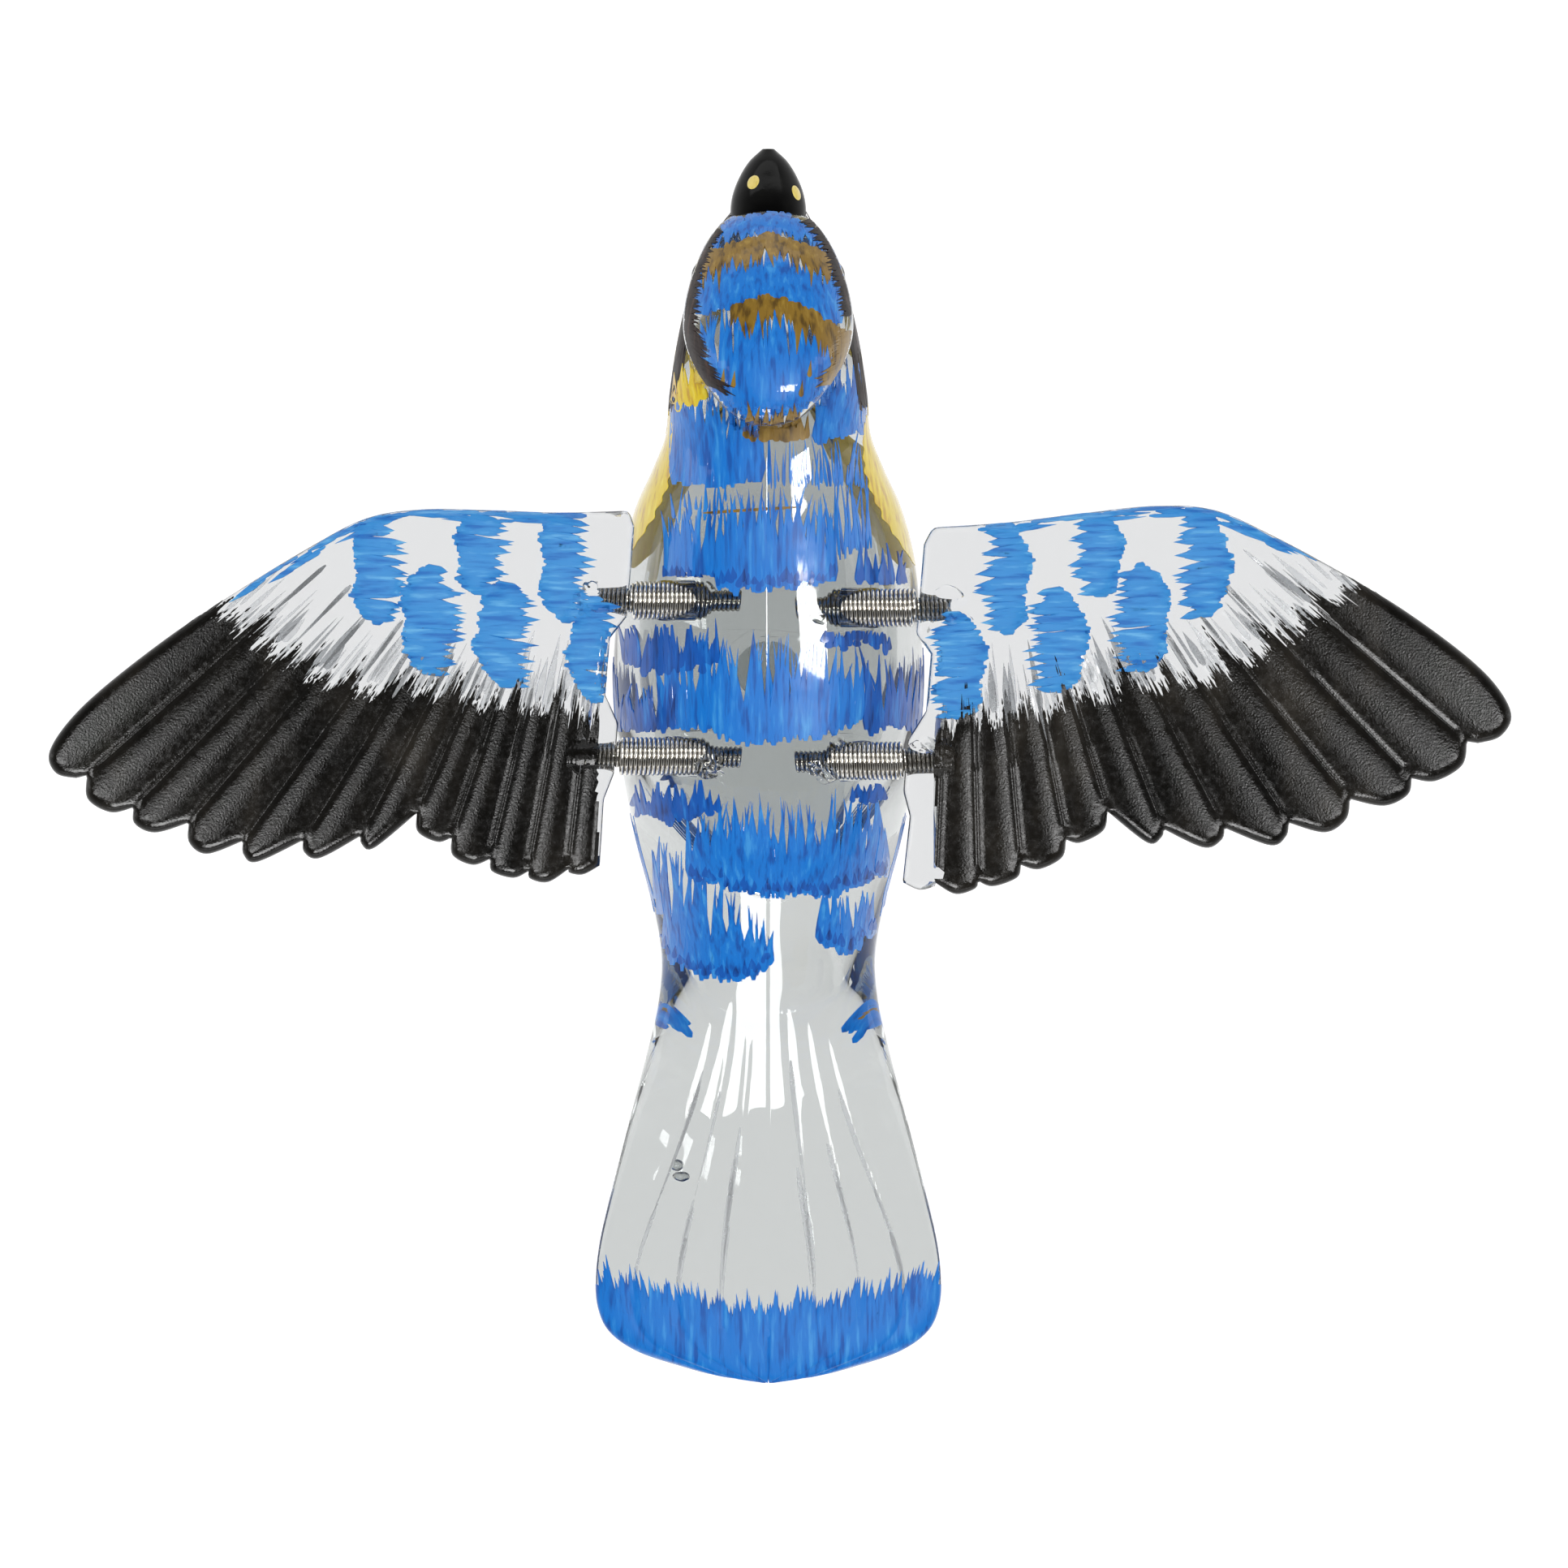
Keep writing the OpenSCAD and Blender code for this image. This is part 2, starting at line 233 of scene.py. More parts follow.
def grid_faces(rings, count, ends=False):
    """Quads of a tube of rings, with or without a face over each end."""
    faces = []
    for a in range(0, (rings - 1) * count, count):
        for j in range(count):
            k = (j + 1) % count
            faces.append((a + j, a + k, a + k + count, a + j + count))
    if ends:
        last = (rings - 1) * count
        faces.append(tuple(reversed(range(count))))
        faces.append(tuple(range(last, last + count)))
    return faces


def loft_object(name, points):
    """A closed solid through rings of points."""
    rings, count, _ = points.shape
    return make_object(name, points.reshape(-1, 3), grid_faces(rings, count, ends=True))


def cylinder(name, start, end, radius, end_radius=None):
    """A closed cylinder or cone between two points."""
    start = np.array(start, float)
    end = np.array(end, float)
    along = (end - start) / np.linalg.norm(end - start)
    side = np.cross(along, [0, 0, 1] if abs(along[2]) < 0.9 else [1, 0, 0])
    side /= np.linalg.norm(side)
    other = np.cross(along, side)
    turn = turns(48)
    circle = np.cos(turn)[:, None] * side + np.sin(turn)[:, None] * other
    far = radius if end_radius is None else end_radius
    return loft_object(name, np.stack([start + circle * radius, end + circle * far]))


def cross_cylinder(name, side, y, start, end, radius, end_radius=None):
    """A cylinder or cone on a spring's axis, between two distances from the centre plane."""
    return cylinder(name, (side * start, y, SPRING_Z), (side * end, y, SPRING_Z), radius, end_radius)


def blob(name, centre, size, seed, lumps=0.18):
    """A lumpy drop, for glue and air bubbles."""
    rng = random.Random(seed)
    waves = [(rng.uniform(1, 3.4), rng.uniform(1, 3.4), rng.uniform(0, 6.28)) for _ in range(4)]
    rings = 18
    count = 28
    centre = np.array(centre)
    points = []
    for i in range(1, rings):
        polar = math.pi * i / rings
        for j in range(count):
            turn = 2 * math.pi * j / count
            wide = math.sin(polar)
            d = np.array([wide * math.cos(turn), wide * math.sin(turn), math.cos(polar)])
            swell = sum(math.sin(a * d[0] * 2 + b * d[1] * 2 + c + d[2] * 1.7) for a, b, c in waves) / 4
            points.append(centre + d * np.array(size) * (1 + lumps * swell))
    north = len(points)
    top = np.array([0, 0, size[2]])
    points += [centre + top, centre - top]
    faces = [tuple(reversed(f)) for f in grid_faces(rings - 1, count)]
    last = (rings - 2) * count
    faces += [(north, j, (j + 1) % count) for j in range(count)]
    faces += [(north + 1, last + (j + 1) % count, last + j) for j in range(count)]
    return make_object(name, points, faces)


def surface_tree(piece):
    """A piece's surface, for brushes to lay strokes on."""
    return BVHTree.FromObject(piece, bpy.context.evaluated_depsgraph_get())


def combine(target, tool, operation="DIFFERENCE"):
    """Applies one boolean and removes the tool."""
    modifier = target.modifiers.new("combine", "BOOLEAN")
    modifier.solver = "MANIFOLD"
    modifier.operation = operation
    modifier.object = tool
    graph = bpy.context.evaluated_depsgraph_get()
    mesh = bpy.data.meshes.new_from_object(target.evaluated_get(graph))
    target.modifiers.clear()
    old = target.data
    target.data = mesh
    bpy.data.meshes.remove(old)
    bpy.data.objects.remove(tool)


# ---- materials
def linear(r, g, b):
    """An sRGB colour of 0 to 255 as linear light."""
    out = []
    for v in (r, g, b):
        v /= 255
        out.append(v / 12.92 if v <= 0.04045 else ((v + 0.055) / 1.055) ** 2.4)
    return (*out, 1.0)


def set_inputs(tree, node, inputs):
    """Sets a node's sockets to values, or feeds them from other nodes' outputs."""
    for socket, value in inputs.items():
        if isinstance(value, bpy.types.NodeSocket):
            tree.links.new(value, node.inputs[socket])
        else:
            node.inputs[socket].default_value = value


def add_node(tree, kind, output, **inputs):
    """One output of a new shader node."""
    node = tree.nodes.new("ShaderNode" + kind)
    set_inputs(tree, node, inputs)
    return node.outputs[output]


def noise(tree, scale, detail=3, stretch=(1, 1, 1)):
    """A noise texture in object space, with its pattern stretched along the axes."""
    place = add_node(tree, "TexCoord", "Object")
    mapped = add_node(tree, "Mapping", "Vector", Vector=place, Scale=stretch)
    return add_node(tree, "TexNoise", "Fac", Vector=mapped, Scale=scale, Detail=detail)


def ramp(tree, source, stops):
    """Colours picked by a value, as (place, sRGB colour of 0 to 255) or (place, grey of linear light)."""
    output = add_node(tree, "ValToRGB", "Color", Fac=source)
    elements = output.node.color_ramp.elements
    while len(elements) < len(stops):
        elements.new(0.5)
    for element, (place, colour) in zip(elements, stops):
        element.position = place
        element.color = linear(*colour) if isinstance(colour, tuple) else (colour, colour, colour, 1)
    return output


def surface(name, values, tone=None, gloss=None, grain=None):
    """A material: fixed values on the shader, and noise for its colour, its roughness and its bumps.
    tone and gloss are (noise, stops), grain is (noise, depth in metres); a noise is (scale, detail, stretch)
    with the last two optional. A grain without a noise follows the colour's."""
    material = bpy.data.materials.new(name)
    material.use_nodes = True
    tree = material.node_tree
    inputs = dict(values)
    if tone:
        streaks = noise(tree, *tone[0])
        inputs["Base Color"] = ramp(tree, streaks, tone[1])
    if gloss:
        inputs["Roughness"] = ramp(tree, noise(tree, *gloss[0]), gloss[1])
    if grain:
        height = noise(tree, *grain[0]) if grain[0] else streaks
        inputs["Normal"] = add_node(tree, "Bump", "Normal", Height=height, Distance=grain[1])
    set_inputs(tree, tree.nodes["Principled BSDF"], inputs)
    return material


def acrylic(name, painted_tone, wave_size, wave_depth):
    """Clear cast plastic with faint flow waves and a slightly hazy skin; its grey tone is painted shade."""
    values = {"Transmission Weight": 1, "IOR": 1.49, "Base Color": (*painted_tone, 1)}
    haze = ((300, 4), [(0.4, 0), (0.75, 0.06)])
    return surface(name, values, gloss=haze, grain=((1 / wave_size, 1), wave_depth))


def paint(name, dark, main, light, stretch=(1, 0.09, 1), roughness=0.4, coat=1):
    """Brushed paint: bristle streaks in its colour and its surface."""
    tone = ((1300, 4, stretch), [(0.34, dark), (0.48, main), (0.56, main), (0.7, light)])
    gloss = ((260,), [(0.3, roughness - 0.1), (0.7, roughness + 0.1)])
    return surface(name, {"Coat Weight": coat, "Coat Roughness": 0.04}, tone, gloss, (None, 0.00003))


def light_streak_plastic(name, painted_tone):
    """Slightly frosted plastic, for thin raised strokes of painted highlight and painted shade on clear
    plastic.
    """
    values = {"Transmission Weight": 0.7, "Base Color": linear(*painted_tone)}
    return surface(name, values, gloss=((700,), [(0.3, 0.12), (0.7, 0.35)]), grain=((900, 2), 0.00003))


def spring_steel():
    """Drawn stainless wire, bright with faint die lines, with painted shade between its turns."""
    material = surface("spring_wire", {"Metallic": 1}, gloss=((1200,), [(0.3, 0.08), (0.7, 0.22)]))
    tree = material.node_tree
    tone = ramp(tree, noise(tree, 500, 3, (1, 3, 3)), [(0.3, (206, 200, 190)), (0.7, (246, 244, 238))])
    # Painted shade: the colour darkens where the wire's own turns close in round a point, in the gaps
    # between neighbouring turns.
    gaps = add_node(tree, "AmbientOcclusion", "AO", Distance=0.0005)
    gaps.node.samples = 6
    gaps.node.only_local = True
    depth = ramp(tree, gaps, [(0.12, (44, 41, 37)), (0.4, (190, 185, 176)), (0.7, 1)])
    shade = tree.nodes.new("ShaderNodeMix")
    shade.data_type = "RGBA"
    shade.blend_type = "MULTIPLY"
    set_inputs(tree, shade, {"Factor": 1, "A": tone, "B": depth})
    set_inputs(tree, tree.nodes["Principled BSDF"], {"Base Color": shade.outputs["Result"]})
    return material


# The grey tones are painted shade: the real plastic is clear, and looks grey from what it shows of its
# surroundings.
ACRYLIC = acrylic("clear_acrylic", (0.592, 0.612, 0.608), 0.016, 0.0005)
WING_ACRYLIC = acrylic("clear_wing", (0.75, 0.757, 0.765), 0.009, 0.0004)
BLUE = paint("blue_paint", (8, 88, 178), (10, 122, 216), (58, 154, 230))
WING_BLUE = paint("wing_blue_paint", (36, 116, 200), (58, 148, 221), (104, 184, 238), (0.12, 1, 1))
DEEP_BLUE = paint("deep_blue_paint", (4, 56, 128), (6, 90, 184), (36, 128, 214), coat=0.5)
# Painted shade: olive stands for the breast's yellow as it looks in shade through the clear head, painted on
# the outside in the gaps between the blue.
YELLOW_IN_SHADE = paint("yellow_in_shade_paint", (92, 68, 18), (140, 108, 32), (166, 134, 52))
YELLOW = paint("yellow_paint", (206, 160, 10), (238, 208, 18), (248, 226, 70))
BROWN = paint("brown_paint", (12, 8, 8), (36, 23, 21), (74, 54, 48), roughness=0.55, coat=0.15)
CREAM = paint("cream_paint", (222, 198, 96), (238, 216, 120), (248, 232, 160))
# Thick black paint with a fine orange-peel grain that catches the light
BLACK = surface(
    "black_paint", {},
    tone=((140, 5, (1, 0.5, 1)), [(0.35, (12, 11, 9)), (0.55, (24, 22, 19)), (0.8, (46, 42, 36))]),
    gloss=((1500, 2), [(0.35, 0.12), (0.7, 0.28)]),
    grain=((3600, 2), 0.000026),
)
# Painted light: the pale strokes are highlights along the wings' feathers and shade lines down the tail's
# grooves, the grey ones shade on the clear feathers.
PALE_HIGHLIGHT_AND_SHADE = light_streak_plastic("pale_highlight_and_shade", (244, 246, 248))
GREY_PAINTED_SHADE = light_streak_plastic("grey_painted_shade", (196, 199, 202))
STEEL = spring_steel()
# Black lacquer, for the beak and the eyes
BEAK_LACQUER = surface(
    "beak_lacquer", {"Specular IOR Level": 0.3},
    tone=((350, 4), [(0.4, (3, 3, 3)), (0.8, (14, 14, 13))]),
    gloss=((500,), [(0.3, 0.07), (0.7, 0.18)]),
    grain=((700,), 0.000015),
)


def wear(piece, material, body="body"):
    """Gives a finished piece its material and the body it moves with."""
    piece.data.materials.clear()
    piece.data.materials.append(material)
    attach(piece, body)
    return piece


# ---- body
SEAM_DEPTH = 0.1
# The tail's grooves, as shares of its half width where it is widest
TAIL_GROOVES = (0.27, 0.54, 0.80)


def groove_spread(y):
    """The grooves draw together towards the body."""
    return 0.6 + 0.4 * smoothstep(-44, -88, y)


def dent(away, depth, width):
    """A soft groove's depth at a distance from its middle."""
    return depth * np.exp(-((away / width) ** 2))


def trunk_angles(per_quarter=66):
    """Angles round the trunk: even on the flanks, close together at the seam and across the flat tail."""
    t = np.linspace(0, 1, per_quarter)[1:-1]
    even = t * math.pi / 2
    quarter = 0.45 * even + 0.55 * np.arcsin(t)
    fine = np.radians([0.0, 0.35, 0.9])
    quarter = np.concatenate([fine, quarter[quarter > math.radians(1.3)], [math.pi / 2]])
    half = np.concatenate([quarter, math.pi - quarter[-2::-1]])
    return np.concatenate([half, 2 * math.pi - half[-2:0:-1]])


def detail_trunk(points, angles):
    """Cuts the seam, the tail's feather grooves and its scalloped end into the trunk's skin."""
    x = points[:, :, 0]
    y = points[:, :, 1]
    on_top = np.cos(angles)[None, :] >= 0
    facing = np.where(on_top, 1.0, -1.0)
    half = hermite(TRUNK, y.ravel())[:, 1].reshape(y.shape)
    share = x / half
    depth = np.zeros_like(x)
    for side in SIDES.values():
        for place in TAIL_GROOVES:
            away = np.abs(share - side * place * groove_spread(y)) * half
            depth += dent(away, 0.17, 0.45) + dent(away, 0.05, 1.8)
    depth += dent(np.abs(share) * half, 0.05, 1.8)
    fade = smoothstep(-42, -54, y) * smoothstep(-92, -85, y) * smoothstep(0.985, 0.9, np.abs(share))
    points[:, :, 2] -= facing * fade * depth * np.where(on_top, 1.0, 0.6)
    seam = (np.abs(np.sin(angles)) < 0.002)[None, :]
    points[:, :, 2] -= facing * np.where(seam, SEAM_DEPTH, 0.0)
    scallops = 0.55 * np.abs(np.sin(math.pi * share * 3.7)) ** 0.7 - 0.25
    points[:, :, 1] -= smoothstep(-84, -93, y) * scallops * smoothstep(1.0, 0.8, np.abs(share))
    return points


def ring_places(start, end, count):
    """Ring positions, closer together at both ends."""
    t = np.linspace(0, 1, count)
    return start + (end - start) * ((0.5 - 0.5 * np.cos(math.pi * t)) * 0.45 + t * 0.55)


def simple_loft(name, table, rings, count, inset=0.0, start=None):
    """A solid through a table's stations, from its first one or a later start."""
    ys = ring_places(table[0, 0] if start is None else start, table[-1, 0], rings)
    angles = turns(count)
    return loft_object(name, section_points(table, ys, angles, inset))


def hollow_solid():
    """The air inside the body, rounded at both ends and clear of the springs' sockets and the sleeve."""
    ys = ring_places(HOLLOW_FROM, HOLLOW_TO, 90)
    along = (ys - HOLLOW_FROM) / (HOLLOW_TO - HOLLOW_FROM) * 2 - 1
    shrink = np.sqrt(np.clip(1 - np.abs(along) ** np.where(along < 0, 2.1, 4.0), 0.0004, 1))
    angles = turns(96)
    hollow = loft_object("hollow", section_points(TRUNK, ys, angles, WALL, shrink))
    for _, side, _, y in SPRINGS:
        corners = [
            (side * x, y + turn, SPRING_Z + rise)
            for x in (-1, 16) for turn in (-BAR_R, BAR_R) for rise in (-BAR_R, 16)
        ]
        sides = [(0, 1, 3, 2), (4, 6, 7, 5), (0, 4, 5, 1), (2, 3, 7, 6), (0, 2, 6, 4), (1, 5, 7, 3)]
        combine(hollow, make_object("block", corners, sides))
    combine(hollow, cylinder("pad", (0, 0, -1), (0, 0, SLEEVE_TOP + 2), SLEEVE_R + 2))
    return hollow


def body_skin():
    """The body's outside, before any hole is cut: what the paint lies on."""
    angles = trunk_angles()
    ys = ring_places(TRUNK[0, 0], TRUNK[-1, 0], 400)
    skin = loft_object("body_casting", detail_trunk(section_points(TRUNK, ys, angles), angles))
    combine(skin, simple_loft("crown", CROWN, 90, 128), "UNION")
    combine(skin, simple_loft("beak", BEAK, 40, 64), "UNION")
    return skin


def glue_places():
    """Where glue squeezed out round each spring's body socket: centre, size and the drop's number."""
    rng = random.Random(11)
    for _, side, _, y in SPRINGS:
        for k in range(3):
            x = side * rng.uniform(5.6, 9.6)
            turn = rng.choice((-1, 1)) * rng.uniform(0.9, 2.6)
            z = SPRING_Z + rng.uniform(1.2, 2.6)
            yield (x, y + turn, z), (rng.uniform(1.1, 2.2), rng.uniform(0.8, 1.5), rng.uniform(1.0, 1.7)), k


# The cone at the inner end of each spring's trough, as distances from the centre plane
LIP_START = 8.5
LIP_END = 9.5


def body_casting():
    """Both glued halves as one clear casting, with its hollow, spring troughs and the sleeve's seat.
    Glue fills the sockets round the springs' necks, so the wire lies straight in the clear plastic."""
    casting = body_skin()
    tree = surface_tree(casting)
    for centre, size, k in glue_places():
        combine(casting, blob("drop", centre, size, 30 + k), "UNION")
    combine(casting, hollow_solid())
    trough = COIL_R + FIT
    for _, side, _, y in SPRINGS:
        combine(casting, cross_cylinder("lip", side, y, LIP_START, LIP_END, COIL_R - 0.9, trough))
        combine(casting, cross_cylinder("trough", side, y, LIP_END - 0.05, 30, trough))
    seat = cylinder("seat", (0, 0, -2), (0, 0, SLEEVE_TOP + 0.05), SLEEVE_R + 0.05)
    combine(casting, seat)
    for centre, size in (((-12.2, -66.0, 25.9), (0.9, 0.8, 0.6)), ((-11.6, -67.5, 25.6), (1.1, 0.7, 0.6))):
        combine(casting, blob("bubble", centre, size, 5, lumps=0.05))
    smooth_shade(casting, 40)
    wear(casting, ACRYLIC)
    casting.visible_shadow = False
    glued = [f"{name}_{end}_body_glue" for name, _, end, _ in SPRINGS]
    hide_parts("body_left_half", "body_right_half", *glued)
    return casting, tree


# ---- wings
def skewed(points, side):
    """Outline points with the difference between the two wing mouldings, on their own side."""
    points = np.array(points, float)
    ds = points[:, 0] - SKEW_CENTRE[0]
    dc = points[:, 1] - SKEW_CENTRE[1]
    out = np.empty_like(points)
    out[:, 0] = side * (points[:, 0] + side * (SKEW_SPAN * ds + SKEW_LEAN * dc))
    out[:, 1] = points[:, 1] + side * SKEW_SWEEP * ds
    return out


def face_at(side, y):
    """Distance from the centre plane at which a spring's coil meets the wing root."""
    return abs(skewed([[ROOT_FACE, y]], side)[0, 0])


def smooth_line(points, steps):
    """A curve through plain points, without the last one."""
    points = np.array(points, float)
    last = len(points) - 1
    made = []
    for i in range(last):
        a = points[max(i - 1, 0)]
        b = points[i]
        c = points[i + 1]
        d = points[min(i + 2, last)]
        for s in range(steps):
            u = s / steps
            made.append(0.5 * (
                2 * b + (c - a) * u + (2 * a - 5 * b + 4 * c - d) * u ** 2
                + (3 * b - a - 3 * c + d) * u ** 3
            ))
    return made


def feather_end(notch, tip, following):
    """A feather's end: steep outside, rounded, then rising slowly to the next notch."""
    shoulder = [notch[0] - 0.1 * (notch[0] - tip[0]), notch[1] + 0.62 * (tip[1] - notch[1])]
    return smooth_line([notch, shoulder, tip, following], 12)


def wing_outline(side):
    line = smooth_line(LEADING, 12) + [LEADING[-1]]
    for i, (notch, tip) in enumerate(FEATHERS):
        following = FEATHERS[i + 1][0] if i + 1 < len(FEATHERS) else ROOT[0]
        line += feather_end(notch, tip, following)
    root = np.array(ROOT, float)
    for a, b in zip(root[:-1], root[1:]):
        line += [a + (b - a) * t for t in np.linspace(0, 1, 6, endpoint=False)]
    line += smooth_line([ROOT[-1], [20.5, 20.5], LEADING[0]], 3)
    return even_line(skewed(line, side), 0.45)


def run_along(points):
    """The distance run along a line at each of its points."""
    return np.concatenate([[0], np.cumsum(np.linalg.norm(np.diff(points, axis=0), axis=1))])


def point_at(points, run, at):
    """The point or points of a line at a distance run."""
    return np.stack([np.interp(at, run, points[:, 0]), np.interp(at, run, points[:, 1])], axis=-1)


def even_line(points, step):
    """The same closed outline with evenly spaced points."""
    closed = np.vstack([points, points[:1]])
    run = run_along(closed)
    return point_at(closed, run, np.linspace(0, run[-1], int(run[-1] / step), endpoint=False))


def to_segment(points, start, end):
    """Distance from each point to one segment, and how far along it the nearest place is, from 0 to 1."""
    way = end - start
    t = np.clip(((points - start) @ way) / (way @ way), 0, 1)
    return np.linalg.norm(points - start - t[..., None] * way, axis=-1), t


def to_segments(points, starts, ends):
    """Distance from each point to the nearest segment."""
    best = np.full(len(points), 1e9)
    for start, end in zip(starts, ends):
        best = np.minimum(best, to_segment(points, start, end)[0])
    return best


def outline_distance(points, outline):
    return to_segments(points, outline, np.roll(outline, -1, axis=0))


# Inner end of each groove between feathers, as [distance from the centre plane, y], from the wing tip in
GROOVE_STARTS = [
    [61, 15.6], [57.5, 12.6], [54, 9.6], [50.4, 7], [46.6, 4.4], [43, 2],
    [39, 0.2], [35.2, -0.8], [31.4, -1.8], [27.4, -2.4], [23.6, -3],
]
# The small covert feathers: [x, y, half span, half chord]
COVERTS = [
    [55.1, 14, 3.6, 6.9], [41.1, 16, 3.6, 5.5], [29.3, 13.6, 3.6, 7.4],
    [47.3, 7.4, 4.2, 7], [36.7, 4.8, 4.3, 6.9], [24, 2, 4.1, 6.9],
]
COVERT_SHIFT = 0.9


def covert_centres(side):
    """Each covert's centre on one wing, with its half span and half chord."""
    for x, y, half_span, half_chord in COVERTS:
        yield skewed([[x + COVERT_SHIFT * side, y]], side)[0], half_span, half_chord


def grooves(side):
    """Start and end of each groove, out to the notch between two feathers."""
    return skewed(GROOVE_STARTS, side), skewed([f[0] for f in FEATHERS], side)


def wing_relief(points, side):
    """How far the blade's face dips below its flat plane, over its feathers."""
    dip = np.zeros(len(points))
    for start, notch in zip(*grooves(side)):
        away, t = to_segment(points, start, notch)
        dip = np.maximum(dip, smoothstep(0, 0.14, t) * (dent(away, 0.3, 0.4) + dent(away, 0.2, 1.7)))
    for centre, a, b in covert_centres(side):
        r = np.sqrt(((points[:, 0] - centre[0]) / a) ** 2 + ((points[:, 1] - centre[1]) / b) ** 2)
        dip -= 0.22 * smoothstep(1.05, 0.5, r) - dent(r - 1.08, 0.26, 0.09)
    return dip


EDGE_ROUND = 1.5


def wing_surface(points, side, distance, top=True):
    """Height of the blade's top or bottom face at each point, by its distance from the outline."""
    inside = np.clip(distance / EDGE_ROUND, 0, 1)
    bulge = np.sqrt(np.clip(1 - (1 - inside) ** 2, 0, 1))
    relief = wing_relief(points, side) * smoothstep(0.1, 0.9, inside)
    if top:
        return SPRING_Z + (BLADE_T / 2 - 0.25 - relief) * bulge
    return SPRING_Z - (BLADE_T / 2 - 0.1 - 0.5 * relief) * bulge


def wing_points(side):
    """The blade's plan: outline, rows just inside it, rows along the grooves and an even grid."""
    outline = wing_outline(side)
    turned = np.roll(outline, -1, axis=0)
    along = turned - np.roll(outline, 1, axis=0)
    normal = np.column_stack([-along[:, 1], along[:, 0]])
    normal /= np.linalg.norm(normal, axis=1)[:, None]
    if np.sum(outline[:, 0] * turned[:, 1] - turned[:, 0] * outline[:, 1]) < 0:
        normal = -normal
    rows = []
    for offset in (0.12, 0.32, 0.62, 1.0, 1.5):
        row = outline + normal * offset
        row = row[outline_distance(row, outline) > 0.92 * offset]
        rows.append(row[contains(outline, row)])
    lines = []
    for start, notch in zip(*grooves(side)):
        way = notch - start
        length = np.linalg.norm(way)
        across = np.array([-way[1], way[0]]) / length
        at = np.linspace(-0.02, 0.99, int(length / 0.6))
        for offset in (-1.1, -0.62, -0.3, 0, 0.3, 0.62, 1.1):
            lines.append(start + at[:, None] * way + across * offset)
    step = 0.62
    xs = np.arange(outline[:, 0].min(), outline[:, 0].max(), step)
    ys = np.arange(outline[:, 1].min(), outline[:, 1].max(), step * 0.866)
    grid = np.array([(x + (0.5 * step if j % 2 else 0), y) for j, y in enumerate(ys) for x in xs])
    grid = grid[to_segments(grid, *grooves(side)) > 1.35]
    inner = np.vstack([*lines, grid])
    inner = inner[contains(outline, inner)]
    return outline, np.vstack([*rows, inner[outline_distance(inner, outline) > 1.75]])


def contains(outline, points):
    """Which points lie inside a closed outline."""
    inside = np.zeros(len(points), bool)
    for a, b in zip(outline, np.roll(outline, 1, axis=0)):
        crosses = (a[1] > points[:, 1]) != (b[1] > points[:, 1])
        if crosses.any():
            x = (b[0] - a[0]) * (points[:, 1] - a[1]) / (b[1] - a[1]) + a[0]
            inside ^= crosses & (points[:, 0] < x)
    return inside


def wing_blade(name, side):
    """The blade as one closed mesh, with its top points and their triangles for the paint to follow."""
    outline, inner = wing_points(side)
    n = len(outline)
    plan = [Vector(p) for p in np.vstack([outline, inner])]
    made = geometry.delaunay_2d_cdt(plan, [(i, (i + 1) % n) for i in range(n)], [], 1, 1e-4)
    flat = np.array([tuple(p) for p in made[0]])
    triangles = [tuple(f) for f in made[2]]
    distance = outline_distance(flat, outline)
    rim = distance < 0.005
    top = np.column_stack([flat, wing_surface(flat, side, distance)])
    bottom = np.column_stack([flat, wing_surface(flat, side, distance, top=False)])
    top[rim, 2] = SPRING_Z
    index = np.where(rim, np.arange(len(flat)), 0)
    index[~rim] = len(flat) + np.arange((~rim).sum())
    faces = triangles + [(index[a], index[c], index[b]) for a, b, c in triangles]
    return make_object(name, np.vstack([top, bottom[~rim]]), faces), top, triangles


def wing(name, side):
    """One clear wing with its spring bosses and squeezed-out glue."""
    blade, top, triangles = wing_blade(f"{name}_wing_casting", side)
    rng = random.Random(21 + side)
    for _, own_side, _, y in SPRINGS:
        if own_side != side:
            continue
        face = face_at(side, y)
        boss = cross_cylinder("boss", side, y, face + 0.3, face + BOSS_LENGTH, BOSS_R - 0.3, 1.9)
        combine(blade, boss, "UNION")
        for k in range(4):
            x = side * (face + rng.uniform(1.9, 5.6))
            centre = (x, y + rng.uniform(-2.2, 2.2), SPRING_Z + rng.uniform(0.9, 1.5))
            size = (rng.uniform(0.9, 1.9), rng.uniform(0.7, 1.3), rng.uniform(0.5, 0.9))
            combine(blade, blob("drop", centre, size, 60 + k + side), "UNION")
    smooth_shade(blade, 40)
    wear(blade, WING_ACRYLIC, f"{name}_wing")
    blade.visible_shadow = False
    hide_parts(f"{name}_wing", f"{name}_front_wing_glue", f"{name}_rear_wing_glue")
    return blade, top, triangles


